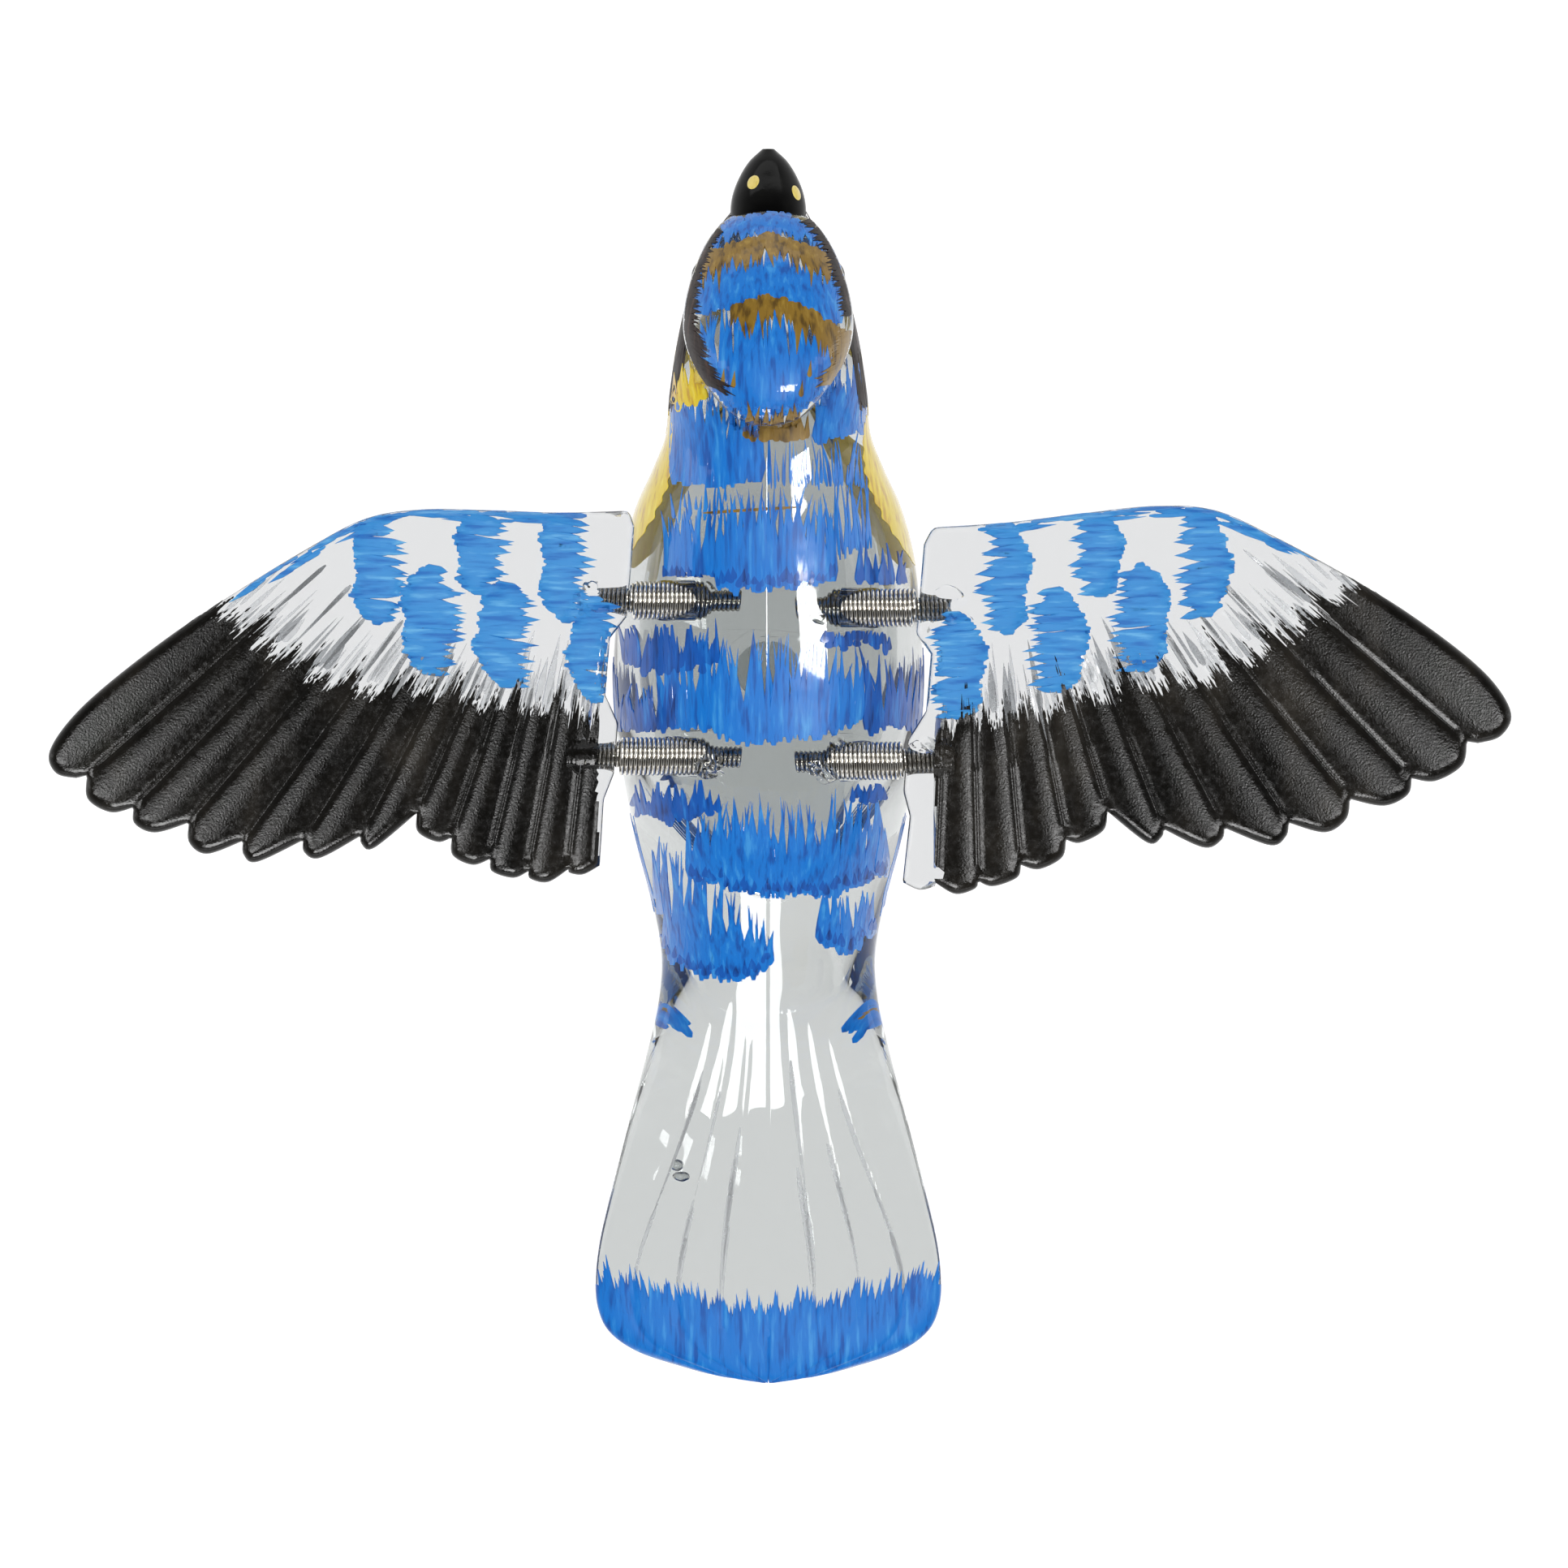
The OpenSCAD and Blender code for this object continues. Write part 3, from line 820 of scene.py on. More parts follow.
# ---- springs
def spring(name, side, end, y):
    """A close-wound spring as one swept wire, with a narrow neck at each end."""
    face = face_at(side, y)
    stops = [NECK_START, NECK_END + 0.3, COIL_START, face - 0.6, face - 0.05, face + WING_NECK]
    radii = [NECK_R, NECK_R, COIL_R, COIL_R, NECK_R, NECK_R]
    pitch = 2 * WIRE_R + 0.025
    run = np.arange(NECK_START + WIRE_R, face + WING_NECK - WIRE_R, pitch / 22)
    turn = 2 * math.pi * (run - run[0]) / pitch
    reach = np.interp(run, stops, radii) - WIRE_R - 0.02
    radial = np.column_stack([np.zeros_like(turn), np.cos(turn), np.sin(turn)])
    axis = np.column_stack([side * run, np.full_like(run, y), np.full_like(run, SPRING_Z)])
    centre = axis + radial * reach[:, None]
    tangent = np.gradient(centre, axis=0)
    tangent /= np.linalg.norm(tangent, axis=1)[:, None]
    other = np.cross(tangent, radial)
    around = turns(9)[None, :, None]
    ring = np.cos(around) * radial[:, None, :] + np.sin(around) * other[:, None, :]
    made = loft_object(f"{name}_{end}_coil", centre[:, None, :] + ring * WIRE_R)
    made.data.shade_smooth()
    made.data.materials.append(STEEL)
    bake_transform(made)
    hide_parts(f"{name}_{end}_spring")
    return made


# ---- paint
class Brush:
    """Collects brush strokes laid on a surface into one paint mesh."""

    def __init__(self, tree, seed):
        self.tree = tree
        self.rng = random.Random(seed)
        self.vertices = []
        self.faces = []

    def cast(self, start, way, lift):
        """A point lifted off the surface where a ray meets it, or None off its edge."""
        hit, normal, _, _ = self.tree.ray_cast(start * MM, way)
        return None if hit is None else hit / MM + normal * lift

    def drop_on(self, x, y, lift):
        """A point on the surface straight below (x, y)."""
        return self.cast(Vector((x, y, 90)), Vector((0, 0, -1)), lift)

    def round_on(self, y, angle, lift):
        """A point on the body at an angle from the top, reached from outside."""
        way = Vector((math.sin(angle), 0, math.cos(angle)))
        return self.cast(Vector((0, y, hermite(TRUNK, y)[0, 4])) + way * 60, -way, lift)

    def stroke(self, place, length, width, steps=8, lift=(0.035, 0.10), core=0.2, taper=1.0):
        """One dab: place(along, across, lift) gives a surface point. It starts blunt, keeps its
        width over its core, then tapers to a spike."""
        height = self.rng.uniform(*lift)
        rows = []
        for i in range(steps + 1):
            t = i / steps
            start = min(1.0, (t + 0.02) / 0.14) ** 0.5
            end = min(1.0, (1 - t) / (1 - core)) ** taper
            half = 0.5 * width * start * end + 0.02
            profile = ((-half, -0.05), (-0.8 * half, height), (0.8 * half, height), (half, -0.05))
            row = [place(t * length, across, up) for across, up in profile]
            if None not in row:
                rows.append(row)
            elif rows:
                break
        if len(rows) < 3:
            return
        first = len(self.vertices)
        self.vertices += [tuple(point) for row in rows for point in row]
        quads = grid_faces(len(rows), len(row))
        last = 4 * (len(rows) - 1)
        quads += [(3, 2, 1, 0), (last, last + 1, last + 2, last + 3)]
        self.faces += [tuple(first + corner for corner in quad) for quad in quads]

    def line(self, start, direction, length, width, bend=0.0, keep_off=None, **options):
        """A dab seen from above: from start along a direction, bending to one side."""
        norm = math.hypot(*direction)
        dx = direction[0] / norm
        dy = direction[1] / norm

        def place(along, across, lift):
            across += bend * along * along / length
            x = start[0] + dx * along - dy * across
            y = start[1] + dy * along + dx * across
            if keep_off and keep_off(x, y):
                return None
            return self.drop_on(x, y, lift)

        self.stroke(place, length, width, **options)

    def piece(self, name, material, body="body"):
        return wear(make_object(name, self.vertices, self.faces, sharp=25), material, body)


# The troughs that paint keeps clear of, from this far out and this far to each side of a spring
BARE_FROM = 7.2
BARE_HALF = 3.0


def near_spring(x, y):
    """True over a spring's trough, where no paint lies."""
    return abs(x) > BARE_FROM and any(side * x > 0 and abs(y - at) < BARE_HALF for _, side, _, at in SPRINGS)


def through(points):
    """Straight pieces through (share, value) points."""
    return lambda share: float(np.interp(share, *zip(*points)))


def spaced(rng, count):
    """Shares of a length from 0 to 1, evenly spaced but each a little off its place."""
    for i in range(count):
        yield (i + rng.random()) / count


def band(brush, left, right, blunt, tips, count, width=(0.8, 1.7), ragged=0.45, straggle=3.4, **options):
    """A row of dabs across the body, each from the blunt edge to a spike at the tips' edge."""
    rng = brush.rng
    blunt_at = through(blunt)
    tip_at = through(tips)
    for share in spaced(rng, count):
        x = left + (right - left) * share
        y = blunt_at(share) + rng.gauss(0, ragged)
        length = abs(tip_at(share) - y) + rng.gauss(0, 0.8) - straggle * rng.random() ** 2
        way = (rng.gauss(0, 0.05), 1 if tip_at(share) > blunt_at(share) else -1)
        size = (max(1.8, length), rng.uniform(*width))
        brush.line((x, y), way, *size, bend=rng.gauss(0, 0.07), keep_off=near_spring, **options)


# Rows of dabs, from above: [left x, right x, blunt edge, spike tips, dabs], edges as (share, y)
BLUE_BANDS = [
    [-7.4, 7.4, ((0, 59), (0.5, 61.3), (1, 59)), ((0, 55.4), (0.5, 57.6), (1, 55.4)), 44],
    [-9.6, 9.8, ((0, 47.4), (0.4, 49.4), (0.75, 47.8), (1, 46.2)), ((0, 55.4), (0.5, 58.4), (1, 54.4)), 74],
    [-9.4, 8.2, ((0, 39.4), (0.25, 35.2), (0.5, 33.2), (0.75, 34.4), (1, 37.6)),
     ((0, 47.4), (0.3, 50), (0.5, 50.2), (0.75, 48.4), (1, 46.4)), 84],
    [-13.3, -0.8, ((0, 26.4), (0.5, 24.8), (1, 25.6)), ((0, 39.4), (1, 37.4)), 52],
    [6.4, 12.9, ((0, 31), (1, 32.4)), ((0, 39.6), (1, 43)), 30],
    [-13.7, 9, ((0, 12.6), (0.3, 11.4), (0.6, 11.2), (1, 12.4)),
     ((0, 21), (0.3, 23.6), (0.7, 24.4), (1, 23)), 87],
    [-13.8, 12.4, ((0, -6.4), (0.35, -9), (0.7, -8.8), (1, -6.2)),
     ((0, 2.8), (0.3, 4.4), (0.6, 5), (1, 2.4)), 97],
    [-10.5, 16, ((0, -27), (0.3, -29.4), (0.7, -29.8), (1, -27)),
     ((0, -18.6), (0.3, -16.4), (0.7, -17), (1, -17.4)), 87],
    [-15.4, 0.4, ((0, -36.4), (0.4, -40.4), (0.7, -41.2), (1, -38.8)),
     ((0, -21), (0.4, -25), (1, -34)), 55],
    [6.9, 14.5, ((0, -36), (0.5, -37.4), (1, -34.6)), ((0, -29.6), (1, -28.4)), 23],
]
# The bands whose strokes began with a thick heel
HEELED_BANDS = [BLUE_BANDS[5], BLUE_BANDS[7], BLUE_BANDS[8], BLUE_BANDS[9]]
FINE_BLUE_BANDS = [
    [0, 12.8, ((0, 24.8), (1, 25)), ((0, 32.4), (1, 31.2)), 30],
    [8.6, 13.8, ((0, 15.2), (1, 17)), ((0, 26.8), (1, 27.6)), 18],
    [-13, -5, ((0, 20.4), (1, 21.6)), ((0, 24.6), (1, 26)), 12],
]
DEEP_BLUE_BANDS = [
    [12, 18.8, ((0, 11.4), (1, 11.8)), ((0, 17.2), (1, 16.4)), 11],
    [-19.2, -6.6, ((0, 1), (0.5, 0.4), (1, 1.2)), ((0, 6.8), (1, 7)), 34],
    [7.4, 16.4, ((0, 3.5), (1, 3.7)), ((0, 6.8), (1, 6.4)), 20],
    [13, 20.4, ((0, -7.6), (1, -7)), ((0, 2.4), (1, 1.6)), 16],
    [-20.3, -12.6, ((0, -7.4), (1, -7.6)), ((0, -1.8), (1, -0.8)), 17],
    [-18.2, -6.6, ((0, -18.6), (0.5, -19.8), (1, -18.4)), ((0, -14.2), (1, -14.2)), 36],
    [11.2, 15.8, ((0, -16.9), (1, -16.7)), ((0, -14.4), (1, -14.4)), 11],
]
# Rows of painted shade: the yellow under the throat as it shows dim through the clear plastic between the
# blue bands.
YELLOW_IN_SHADE_BANDS = [
    [-8.4, 8.8, ((0, 55.8), (0.5, 58.3), (1, 55.2)), ((0, 51.8), (0.5, 54), (1, 51.2)), 56],
    [-4.6, 10.2, ((0, 48.4), (0.3, 49.9), (0.6, 48.6), (0.85, 46.6), (1, 45)),
     ((0, 43.4), (0.4, 46.4), (0.85, 40.8), (1, 39.4)), 37],
    [-2.8, 5.2, ((0, 31), (1, 31)), ((0, 34.6), (1, 34.6)), 21],
]


def lay_bands(brush, rows, **options):
    for row in rows:
        band(brush, *row, **options)


def heel_dabs(brush, left, right, blunt, count):
    """Short thick dabs where each stroke of a band began."""
    rng = brush.rng
    blunt_at = through(blunt)
    for share in spaced(rng, count):
        start = (left + (right - left) * share, blunt_at(share) + rng.gauss(0.3, 0.35))
        way = (rng.gauss(0, 0.15), 1)
        size = (rng.uniform(1.0, 2.0), rng.uniform(0.6, 1.1))
        brush.line(start, way, *size, core=0.4, lift=(0.1, 0.12), keep_off=near_spring)


def flank_bands(brush, *rows):
    """Dabs on both flanks and the underside. A row holds its angles from the top in degrees, its rear and
    front ends, the number of dabs and perhaps their widths."""
    for side in SIDES.values():
        for row in rows:
            round_band(brush, side, *row)


def round_band(brush, side, high, low, rear, front, count, width=(0.8, 1.5)):
    """One row of dabs on one flank, from one angle to another."""
    rng = brush.rng
    girth = 15.0
    for share in spaced(rng, count):
        angle = side * math.radians(high + (low - high) * share)
        start = rear + rng.gauss(0, 0.7)
        length = max(2.0, front - start + rng.gauss(0, 0.8) - 3 * rng.random() ** 2)

        def place(along, across, lift):
            if near_spring(30 * math.sin(angle), start + along):
                return None
            return brush.round_on(start + along, angle + across / girth, lift)

        brush.stroke(place, length, rng.uniform(*width))


TAIL_EDGE = TRUNK[0, 0]
TAIL_DIP = -86.4


def tail_limit(x):
    """Where the solid blue of the tail's end begins."""
    return TAIL_DIP + 4.4 * (np.abs(x) / 22.6) ** 1.6 + 0.5 * np.sin(x * 1.7) + 0.3 * np.sin(x * 4.1)


def skin_film(name, material, outside, inside, axis):
    """A closed film between an outside and an inside sheet of points."""
    points = np.concatenate([outside, np.flip(inside, axis)], axis)
    made = loft_object(name, points)
    smooth_shade(made, 50)
    return wear(made, material)


def tail_dip():
    """The blue that wraps the tail's end: a closed skin, open towards the body."""
    angles = trunk_angles()
    limit = tail_limit(hermite(TRUNK, TAIL_DIP)[0, 1] * np.sin(angles))
    ys = TAIL_EDGE + (limit - TAIL_EDGE) * np.linspace(0, 1, 46)[:, None]
    outside = detail_trunk(section_points(TRUNK, ys, angles, -0.07), angles)
    inside = detail_trunk(section_points(TRUNK, ys, angles, 0.05), angles)
    inside[0, :, 1] += 0.1
    skin_film("tail_blue_dip", BLUE, outside, inside, 0)


def tail_spikes(brush):
    """Brushed spikes along the front of the tail's blue end."""
    rng = brush.rng
    for share in spaced(rng, 230):
        x = 44.8 * share - 22.4
        length = 3.6 + 2.6 * rng.random() ** 1.6 + rng.gauss(0, 0.3)
        start = (x, float(tail_limit(x)) - 2.4)
        brush.line(start, (x * 0.008, 1), length, rng.uniform(0.7, 1.3), bend=rng.gauss(0, 0.03))


def tail_groove_shade(tree):
    """Soft pale lines of painted shade down the grooves between the tail's moulded feathers."""
    brush = Brush(tree, 80)
    rng = brush.rng
    for place in (*TAIL_GROOVES, *(-p for p in TAIL_GROOVES)):
        for _ in range(4):
            front = rng.uniform(-76, -50)
            length = min(rng.uniform(8, 22), front + 87)
            shift = rng.gauss(0, 0.2)

            def spot(along, across, lift):
                y = front - along
                x = place * float(groove_spread(y)) * hermite(TRUNK, y)[0, 1] + shift + across
                return brush.drop_on(x, y, lift)

            brush.stroke(spot, length, rng.uniform(0.25, 0.7), lift=(0.01, 0.02), core=0.3)
    brush.piece("tail_groove_shade", PALE_HIGHLIGHT_AND_SHADE)


def crown_edge_strokes(brush, side, start, end, reach, lean, count):
    """Short dabs from the crown's edge inwards, between two y. reach is their length at the start, and how
    much it grows by the end."""
    rng = brush.rng
    for share in spaced(rng, count):
        y = start + (end - start) * share
        x = side * (hermite(CROWN, y)[0, 1] - 0.35)
        length = (reach[0] + reach[1] * share) * rng.uniform(0.6, 1.15)
        way = (-side, lean + rng.gauss(0, 0.12))
        brush.line((x, y), way, length, rng.uniform(0.5, 0.9), steps=6, lift=(0.15, 0.18))


def paint_body(tree):
    """All the brushed paint on the body, one piece to a colour."""
    blue = Brush(tree, 3)
    lay_bands(blue, BLUE_BANDS)
    lay_bands(blue, FINE_BLUE_BANDS, width=(0.25, 0.5))
    tail_spikes(blue)
    flank_bands(blue, (97, 120, -48, -42, 9), (76, 104, -31, -19, 18, (0.4, 0.9)))
    blue.piece("body_blue_paint", BLUE)
    dark = Brush(tree, 4)
    lay_bands(dark, DEEP_BLUE_BANDS, width=(0.7, 1.4), lift=(0.09, 0.12))
    flank_bands(dark, (74, 108, -8, 2, 26))
    for left, right, blunt, _, count in HEELED_BANDS:
        heel_dabs(dark, left, right, blunt, count // 2)
    dark.piece("body_deep_blue_paint", DEEP_BLUE)
    # Painted shade in olive, where the throat's yellow shows dim through the clear plastic.
    yellow_in_shade = Brush(tree, 7)
    lay_bands(yellow_in_shade, YELLOW_IN_SHADE_BANDS, ragged=0.2, straggle=1.6, lift=(0.12, 0.15))
    crown_edge_strokes(yellow_in_shade, 1, 45.4, 38.6, (2.6, 0), -0.5, 30)
    # Painted refraction: the breast's yellow edge as it shows, bent and in shade, through the clear
    # shoulder.
    yellow_in_shade.line((-8.6, 21.3), (1, 0.06), 13.2, 0.4, core=0.8, steps=20)
    for x, y in ((-4.6, 37.6), (-6.0, 37.9), (5.4, 39.0), (4.3, 36.4)):
        yellow_in_shade.line((x, y), (0.1, 1), 2.2, 0.7, lift=(0.12, 0.15))
    flank_bands(yellow_in_shade, (100, 118, -46, -43, 3))
    yellow_in_shade.piece("yellow_in_shade_paint", YELLOW_IN_SHADE)
    yellow = Brush(tree, 5)
    flank_bands(
        yellow, (90, 150, 42, 53, 40), (88, 126, 33, 43, 40), (98, 118, 21, 35, 26), (96, 110, 12, 24, 18)
    )
    band(yellow, -13.2, -8.4, ((0, 35.4), (1, 36.6)), ((0, 40.6), (1, 41.4)), 15, lift=(0.1, 0.12))
    yellow.piece("breast_yellow_paint", YELLOW)
    brown = Brush(tree, 6)
    crown_edge_strokes(brown, -1, 59.0, 46.6, (0.9, 1.2), -0.35, 60)
    crown_edge_strokes(brown, -1, 46.6, 38.4, (2.6, 1.6), -0.55, 70)
    crown_edge_strokes(brown, 1, 60.2, 47.4, (1.5, 0), -0.3, 54)
    flank_bands(brown, (74, 94, 50, 60, 26), (70, 92, 42, 52, 34), (68, 88, 36, 44, 30))
    brown.piece("eye_stripe_paint", BROWN)


# How far in from the silhouette the yellow of the flanks reaches, as (y, millimetres)
FLANK_WIDTH = ((14.6, 0.2), (17.5, 1.7), (20.6, 3.0), (24.0, 3.4), (27.5, 2.7), (31.0, 1.3), (34.5, 0.3))


def flank_film(name, side):
    """The smooth yellow on one side of the breast, round to the underside."""
    ys = np.linspace(FLANK_WIDTH[0][0], FLANK_WIDTH[-1][0], 60)
    half = hermite(TRUNK, ys)[:, 1]
    reach = np.interp(ys, *zip(*FLANK_WIDTH)) * (1 + 0.06 * np.sin(ys * 3.1))
    inner = np.arcsin((1 - reach / half) ** (SECTION_POWER / 2))[:, None]
    t = np.linspace(0, 1, 26)
    angles = side * (inner + (math.radians(103) - inner) * t)
    grid_y = np.repeat(ys[:, None], len(t), axis=1)
    outside, inside = (section_points(TRUNK, grid_y, angles, inset) for inset in (-0.06, 0.04))
    skin_film(name, YELLOW, outside, inside, 1)


def dome(name, cast, centre, across, along, turn, heights, material):
    """A raised oval spot on a surface: cast(u, v, lift) gives surface points round its centre."""
    count = 28
    points = []
    for share, lift in heights:
        for j in range(count):
            a = 2 * math.pi * j / count
            u = share * across * math.cos(a)
            v = share * along * math.sin(a)
            x = centre[0] + u * math.cos(turn) - v * math.sin(turn)
            y = centre[1] + u * math.sin(turn) + v * math.cos(turn)
            points.append(tuple(cast(x, y, lift)))
    faces = [tuple(reversed(f)) for f in grid_faces(len(heights), count, ends=True)]
    wear(make_object(name, points, faces, sharp=50), material)


def paint_beak():
    """The lacquered beak and its two nostril spots."""
    beak = simple_loft("beak_lacquer", BEAK, 40, 64, inset=-0.12, start=60.6)
    smooth_shade(beak, 40)
    wear(beak, BEAK_LACQUER)
    brush = Brush(surface_tree(beak), 0)
    heights = ((0.02, 0.13), (0.5, 0.12), (0.85, 0.08), (1.0, 0.0), (0.6, -0.1))
    dome("nostril_spot_1", brush.drop_on, (-2.0, 65.3), 0.72, 1.0, -0.5, heights, CREAM)
    dome("nostril_spot_2", brush.drop_on, (3.75, 63.9), 0.5, 1.05, 0.35, heights, CREAM)


def paint_eyes(tree):
    """Small glossy painted eyes on the sides of the head."""
    brush = Brush(tree, 0)
    girth = 10.0
    heights = ((0.02, 0.5), (0.4, 0.46), (0.75, 0.3), (0.95, 0.1), (1.0, -0.05), (0.5, -0.1))
    for name, side in SIDES.items():
        def cast(u, v, lift):
            return brush.round_on(v, side * (math.radians(80) + u / girth), lift)

        dome(f"{name}_eye", cast, (0.0, 53.4), 1.5, 1.5, 0.0, heights, BEAK_LACQUER)


# Where the black feather ends begin, as [distance from the centre plane, y]
BLACK_EDGE = [
    [18, -9.4], [22.6, -9], [28.5, -7.8], [38, -7.2], [44, -5], [49, -3.8],
    [52.4, -4.2], [58.5, -3.6], [63.8, -1.1], [70, 2.7], [75, 6.6], [77.5, 9.2], [80, 12],
]
ROOT_RIM = 22.3


def root_rim(side):
    """Distance from the centre plane to the clear rim along the wing's root."""
    return abs(skewed([[ROOT_RIM + 0.8 * side, -12]], side)[0, 0])


def black_film(name, side, top, triangles, edge):
    """Solid black over the feathers' ends: a closed thin film on the blade's top."""
    limit = np.interp(top[:, 0], edge[:, 0], edge[:, 1])
    chosen = (top[:, 1] < limit - 2.6) & (np.abs(top[:, 0]) > root_rim(side))
    triangles = [t for t in triangles if all(chosen[v] for v in t)]
    used = sorted({v for t in triangles for v in t})
    number = {v: i for i, v in enumerate(used)}
    triangles = [tuple(number[v] for v in t) for t in triangles]
    count = len(used)
    borders = {}
    for a, b, c in triangles:
        borders.update({(a, b): True, (b, c): True, (c, a): True})
    faces = triangles + [(a + count, c + count, b + count) for a, b, c in triangles]
    faces += [(b, a, a + count, b + count) for a, b in borders if (b, a) not in borders]
    points = np.vstack([top[used] + [0, 0, 0.06], top[used] - [0, 0, 0.03]])
    return wear(make_object(f"{name}_black_paint", points, faces, sharp=50), BLACK, f"{name}_wing")


def feather_way(point, starts, notches):
    """The way along the feathers at a point, towards their roots."""
    best = np.zeros(2)
    for start, notch in zip(starts, notches):
        way = notch - start
        away = to_segment(point, start, notch)[0] + 0.2
        best -= way / np.linalg.norm(way) * away ** -2.5
    return best / np.linalg.norm(best)


def edge_places(rng, side, edge, lines, count, clear):
    """Places along the black's edge, clear of the root's rim: the run, the point and the feathers' way."""
    run = run_along(edge)
    for share in spaced(rng, count):
        at = run[-1] * share
        spot = point_at(edge, run, at)
        if abs(spot[0]) >= root_rim(side) + clear:
            yield at, spot, feather_way(spot, *lines)


def black_spikes(brush, side, edge):
    """Dry-brushed ends of the black, along the feathers."""
    rng = brush.rng
    starts, notches = grooves(side)
    starts = np.vstack([skewed([[69.0, 13.0]], side), starts, skewed([[21.0, -3.4]], side)])
    notches = np.vstack([skewed([[96.0, -8.0]], side), notches, skewed([[20.6, -26.0]], side)])
    for at, spot, way in edge_places(rng, side, edge, (starts, notches), count=1250, clear=0.2):
        back = rng.uniform(3.2, 4.6)
        tuft = 0.5 + 0.25 * math.sin(at * 0.83) + 0.25 * math.sin(at * 2.1 + 1)
        reach = back + rng.uniform(-1.2, 0.4) + (2.6 + 6.0 * tuft ** 2) * rng.random() ** 1.3
        start = spot - way * back
        brush.line(start, way, reach, rng.uniform(0.14, 0.4), lift=(0.05, 0.1), core=0.7, taper=0.6)
        if rng.random() < 0.35:
            after = start + way * (reach + rng.uniform(0.1, 0.4))
            brush.line(after, way, rng.uniform(0.4, 1.3), rng.uniform(0.1, 0.2), steps=4, core=0.5)


def light_and_shade_streaks(pale, grey, side, edge):
    """Pale strokes of painted highlight and grey strokes of painted shade down the clear part of the
    feathers, from the coverts to the black.
    """
    rng = pale.rng
    lines = grooves(side)
    lift = (0.012, 0.03)
    for _, spot, way in edge_places(rng, side, edge, lines, count=84, clear=0.6):
        brush = pale if rng.random() < 0.55 else grey
        place = spot + way * rng.uniform(0.5, 4.5)
        brush.line(place, way, rng.uniform(4, 11), 0.3 + 0.8 * rng.random() ** 1.6, lift=lift, core=0.5)
    for start, notch in zip(*lines):
        way = (notch - start) / np.linalg.norm(notch - start)
        for _ in range(3):
            place = start + way * rng.uniform(-1, 4)
            grey.line(place, way, rng.uniform(5, 11), rng.uniform(0.25, 0.6), lift=lift, core=0.4)


def covert_dabs(brush, side):
    """Solid blue patches on the coverts, with small spikes towards the body."""
    rng = brush.rng
    for (x, y), half_span, half_chord in covert_centres(side):
        rows = int(2 * half_chord / 0.42)
        for i in range(rows):
            share = (i + 0.5) / rows * 2 - 1
            wide = half_span * math.sqrt(max(0.06, 1 - abs(share) ** 2.6))
            wobble = 0.45 * math.sin(share * 5.5 + x) + rng.gauss(0, 0.22)
            outer = x + side * (wide * 0.92 + wobble)
            inner = x - side * (wide * 0.66 + 2.1 * rng.random() ** 1.5)
            start = (outer, y + share * half_chord + rng.gauss(0, 0.08))
            way = (-side, rng.gauss(-0.1, 0.08))
            brush.line(start, way, abs(outer - inner), rng.uniform(0.8, 1.15), core=0.72)


def edge_dabs(brush, side):
    """The thin blue line along the leading edge, out to where the feathers begin."""
    rng = brush.rng
    line = skewed(smooth_line(LEADING[:9], 10), side)
    for here, ahead in zip(line[6:-8], line[12:]):
        if abs(here[0]) > 69:
            continue
        way = ahead - here
        inward = np.array([way[1], -way[0]]) * side
        inward /= np.linalg.norm(inward)
        if inward[1] > 0:
            inward = -inward
        start = here + inward * (0.35 + 1.1 * rng.random() ** 2.4)
        brush.line(start, way, rng.uniform(3, 7), rng.uniform(0.3, 0.8), core=0.5)


def paint_wing(name, side, blade, top, triangles):
    """All the paint on one wing. Gives back the black pieces, for their own lights."""
    tree = surface_tree(blade)
    body = f"{name}_wing"
    edge = skewed(BLACK_EDGE, side)
    edge = edge[np.argsort(edge[:, 0])]
    solid = black_film(name, side, top, triangles, edge)
    black, blue, pale, grey = (Brush(tree, seed + side) for seed in (40, 50, 60, 70))
    black_spikes(black, side, edge)
    strokes = black.piece(f"{name}_black_strokes", BLACK, body)
    # Painted highlights and painted shade down the clear part of the feathers
    light_and_shade_streaks(pale, grey, side, edge)
    pale.piece(f"{name}_painted_highlights", PALE_HIGHLIGHT_AND_SHADE, body)
    grey.piece(f"{name}_painted_shade_streaks", GREY_PAINTED_SHADE, body)
    covert_dabs(blue, side)
    edge_dabs(blue, side)
    blue.piece(f"{name}_wing_blue_paint", WING_BLUE, body)
    return [solid, strokes]


# ---- stage
def build_stage():
    """A wide white floor, faintly lit from within like a light table, and a studio that dims overhead."""
    size = 8.0
    corners = [(-size, -size, 0), (size, -size, 0), (size, size, 0), (-size, size, 0)]
    mesh = bpy.data.meshes.new("floor")
    mesh.from_pydata(corners, [], [(0, 1, 2, 3)])
    floor = add_object("floor", mesh)
    floor.location = (*VIEW_CENTRE, -0.65)
    floor.data.materials.append(surface("floor_white", {
        "Base Color": (0.6, 0.6, 0.6, 1), "Roughness": 0.9,
        "Emission Color": (1, 1, 1, 1), "Emission Strength": 0.72,
    }))
    world = bpy.data.worlds.new("studio")
    bpy.context.scene.world = world
    world.use_nodes = True
    tree = world.node_tree
    way = add_node(tree, "TexCoord", "Generated")
    height = add_node(tree, "SeparateXYZ", "Z", Vector=way)
    shade = ramp(tree, height, [(0, 0.7), (0.15, 0.55), (0.4, 0.26), (0.65, 0.1), (0.88, 0.04)])
    set_inputs(tree, tree.nodes["Background"], {"Color": shade})


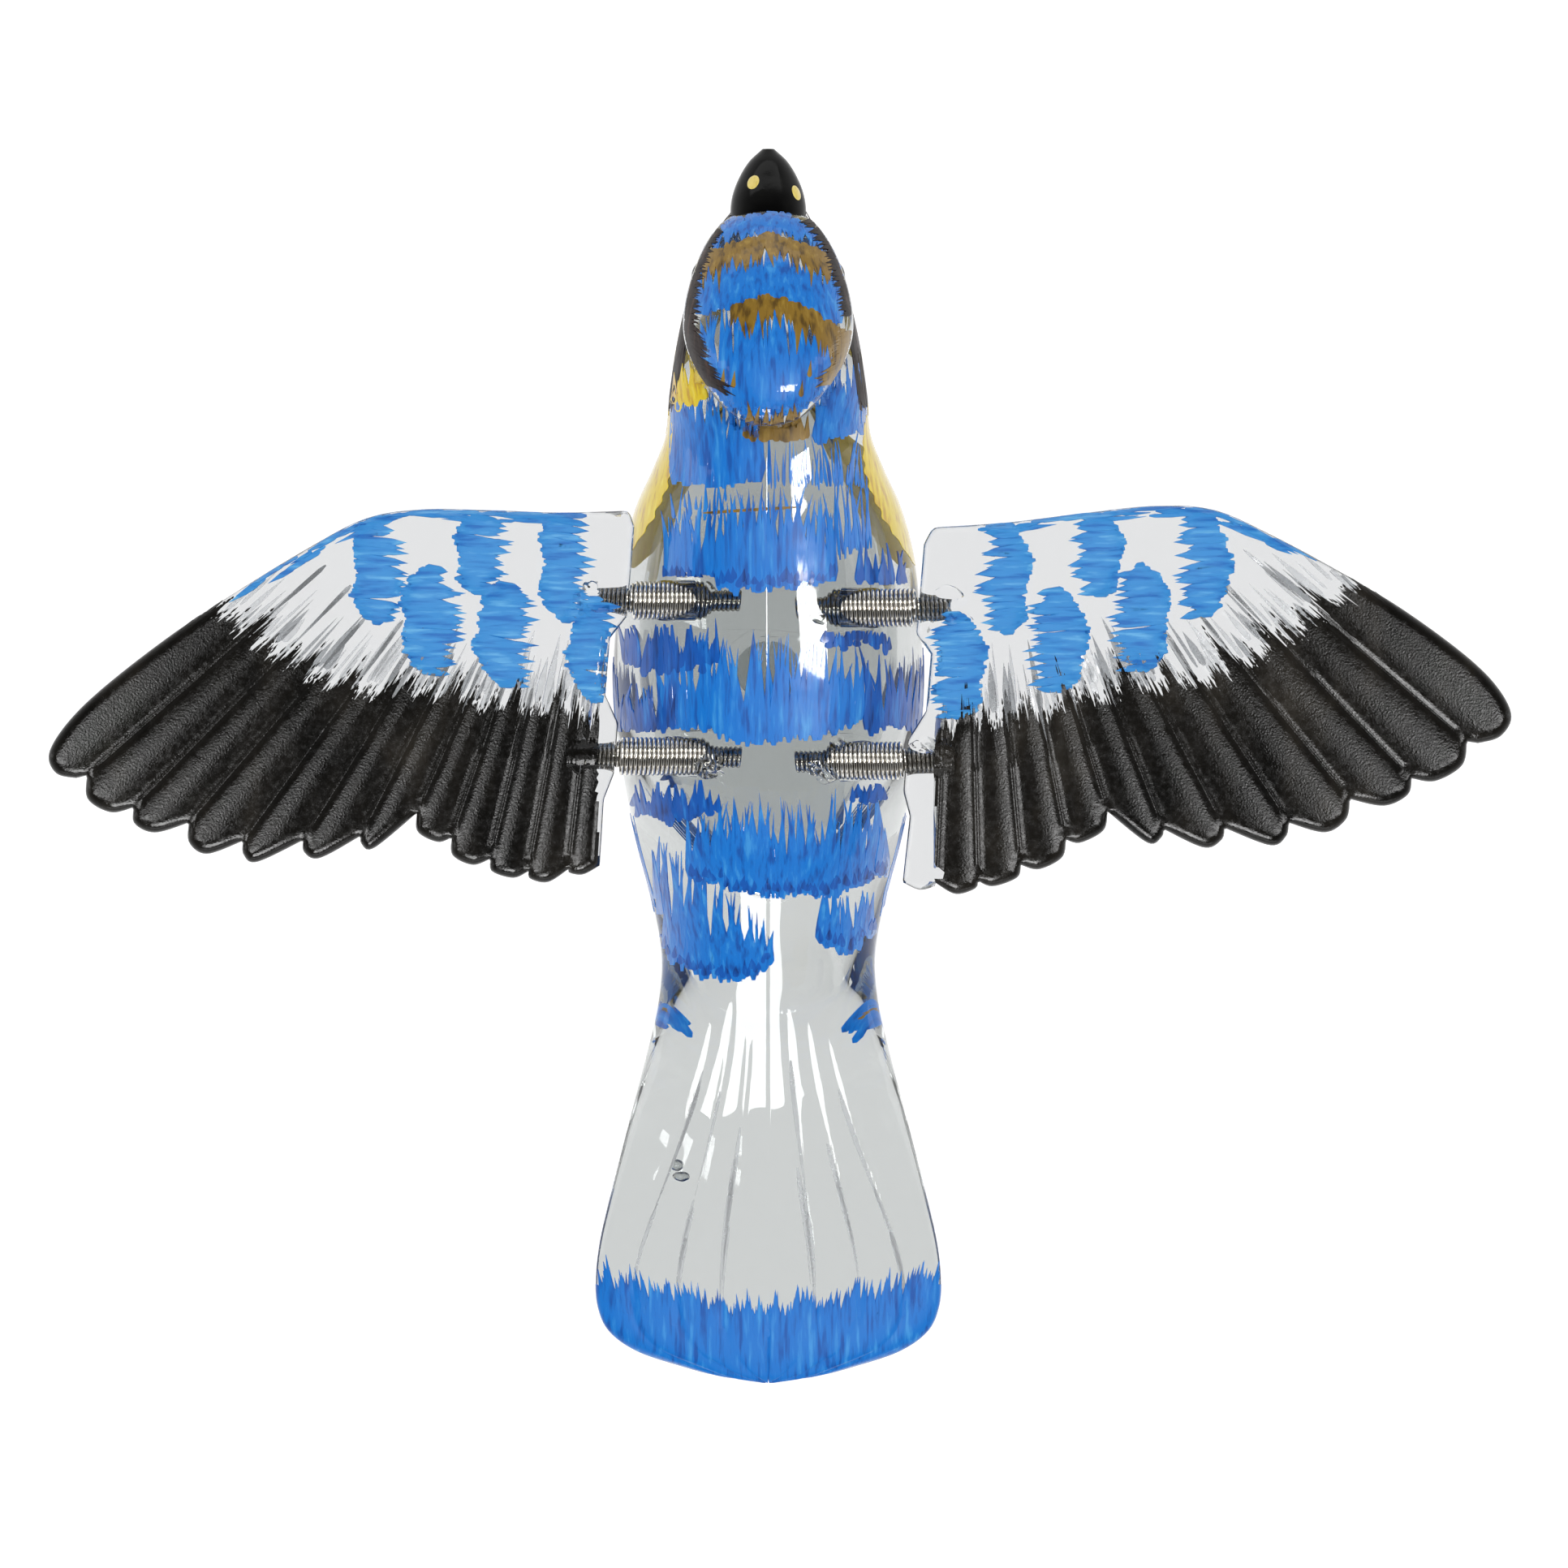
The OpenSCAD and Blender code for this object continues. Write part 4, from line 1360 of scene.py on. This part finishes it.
def area_light(name, place, target, width, height, power, only=None, diffuse=True):
    """A panel hidden from the camera. With only, it lights those pieces alone, as flags on a stand would."""
    data = bpy.data.lights.new(name, "AREA")
    data.shape = "RECTANGLE"
    data.size = width
    data.size_y = height
    data.energy = power
    light = add_object(name, data)
    light.location = place
    way = Vector(target) - Vector(place)
    light.rotation_euler = way.to_track_quat("-Z", "Y").to_euler()
    light.visible_camera = False
    light.visible_diffuse = diffuse
    if only:
        group = bpy.data.collections.new(f"{name}_pieces")
        for piece in only:
            group.objects.link(piece)
        light.light_linking.receiver_collection = group
    return light


def build_lights(casting, coils, black):
    """One broad overhead fill for the paint, and dimmer panels for the gloss to reflect.
    Each has its place, the point it is aimed at, its width and height in metres and its power in watts."""
    fill = area_light("overhead_fill", (0, 0, 1.9), (0, 0, 0), 1.6, 1.6, 33)
    fill.visible_glossy = False
    fill.visible_transmission = False
    meshes = [o for o in bpy.context.scene.objects if o.type == "MESH"]
    rest = [o for o in meshes if o not in black and "wing" not in o.name]
    area_light("key_panel", (0.164, -0.008, 0.35), (0.006, 0.007, 0.042), 0.046, 0.12, 0.44, rest, False)
    tail = [casting, *black]
    area_light("tail_panel", (-0.04, -0.235, 0.35), (-0.003, -0.05, 0.03), 0.16, 0.13, 0.7, tail, False)
    springs = (0, 0, 0.03)
    area_light("spring_fill", (0, 0.3, 1.2), springs, 1.2, 1.0, 4, coils)
    area_light("spring_strip_front", (0, 1.05, 1.4), springs, 1.2, 0.4, 10, coils)
    area_light("spring_strip_rear", (0, -0.25, 1.6), springs, 1.2, 0.14, 2.4, coils)
    for name, side in SIDES.items():
        aim = (0.06 * side, -0.02, 0.03)
        area_light(f"{name}_sheen", (0.17 * side, -0.03, 0.35), aim, 0.06, 0.14, 0.19, black, False)
    area_light("left_bank", (-2.0, 0.2, 0.5), (0, 0, 0), 0.3, 1.6, 1.5)
    area_light("right_bank", (2.0, 0.2, 0.45), (0, 0, 0), 0.3, 1.6, 1.5)
    area_light("rear_bank", (0.1, -2.2, 0.9), (0, 0, 0), 2.2, 0.5, 3.6)
    area_light("front_bank", (-0.2, 2.2, 0.9), (0, 0, 0), 2.2, 0.5, 2.4)


def build_camera():
    """The photo's view, straight down, with a field this wide in the plane of the bird's widest line."""
    distance = 1.7
    field = 0.210
    plane = 0.032
    data = bpy.data.cameras.new("camera")
    data.sensor_width = 36
    data.lens = data.sensor_width * (distance - plane) / field
    data.clip_end = 50
    camera = add_object("camera", data)
    camera.location = (*VIEW_CENTRE, distance)
    bpy.context.scene.camera = camera


build_camera()
build_stage()
bpy.context.scene.view_settings.view_transform = "Standard"
casting, body_tree = body_casting()
paint_body(body_tree)
tail_groove_shade(body_tree)
tail_dip()
for name, side in SIDES.items():
    flank_film(f"{name}_flank_yellow", side)
paint_beak()
paint_eyes(body_tree)
coils = []
black_pieces = []
for name, side in SIDES.items():
    black_pieces += paint_wing(name, side, *wing(name, side))
    coils += [spring(*row) for row in SPRINGS if row[0] == name]
build_lights(casting, coils, black_pieces)
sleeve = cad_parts["stake_socket"]
sleeve.data.materials.clear()
sleeve.data.materials.append(ACRYLIC)
sleeve.visible_shadow = False
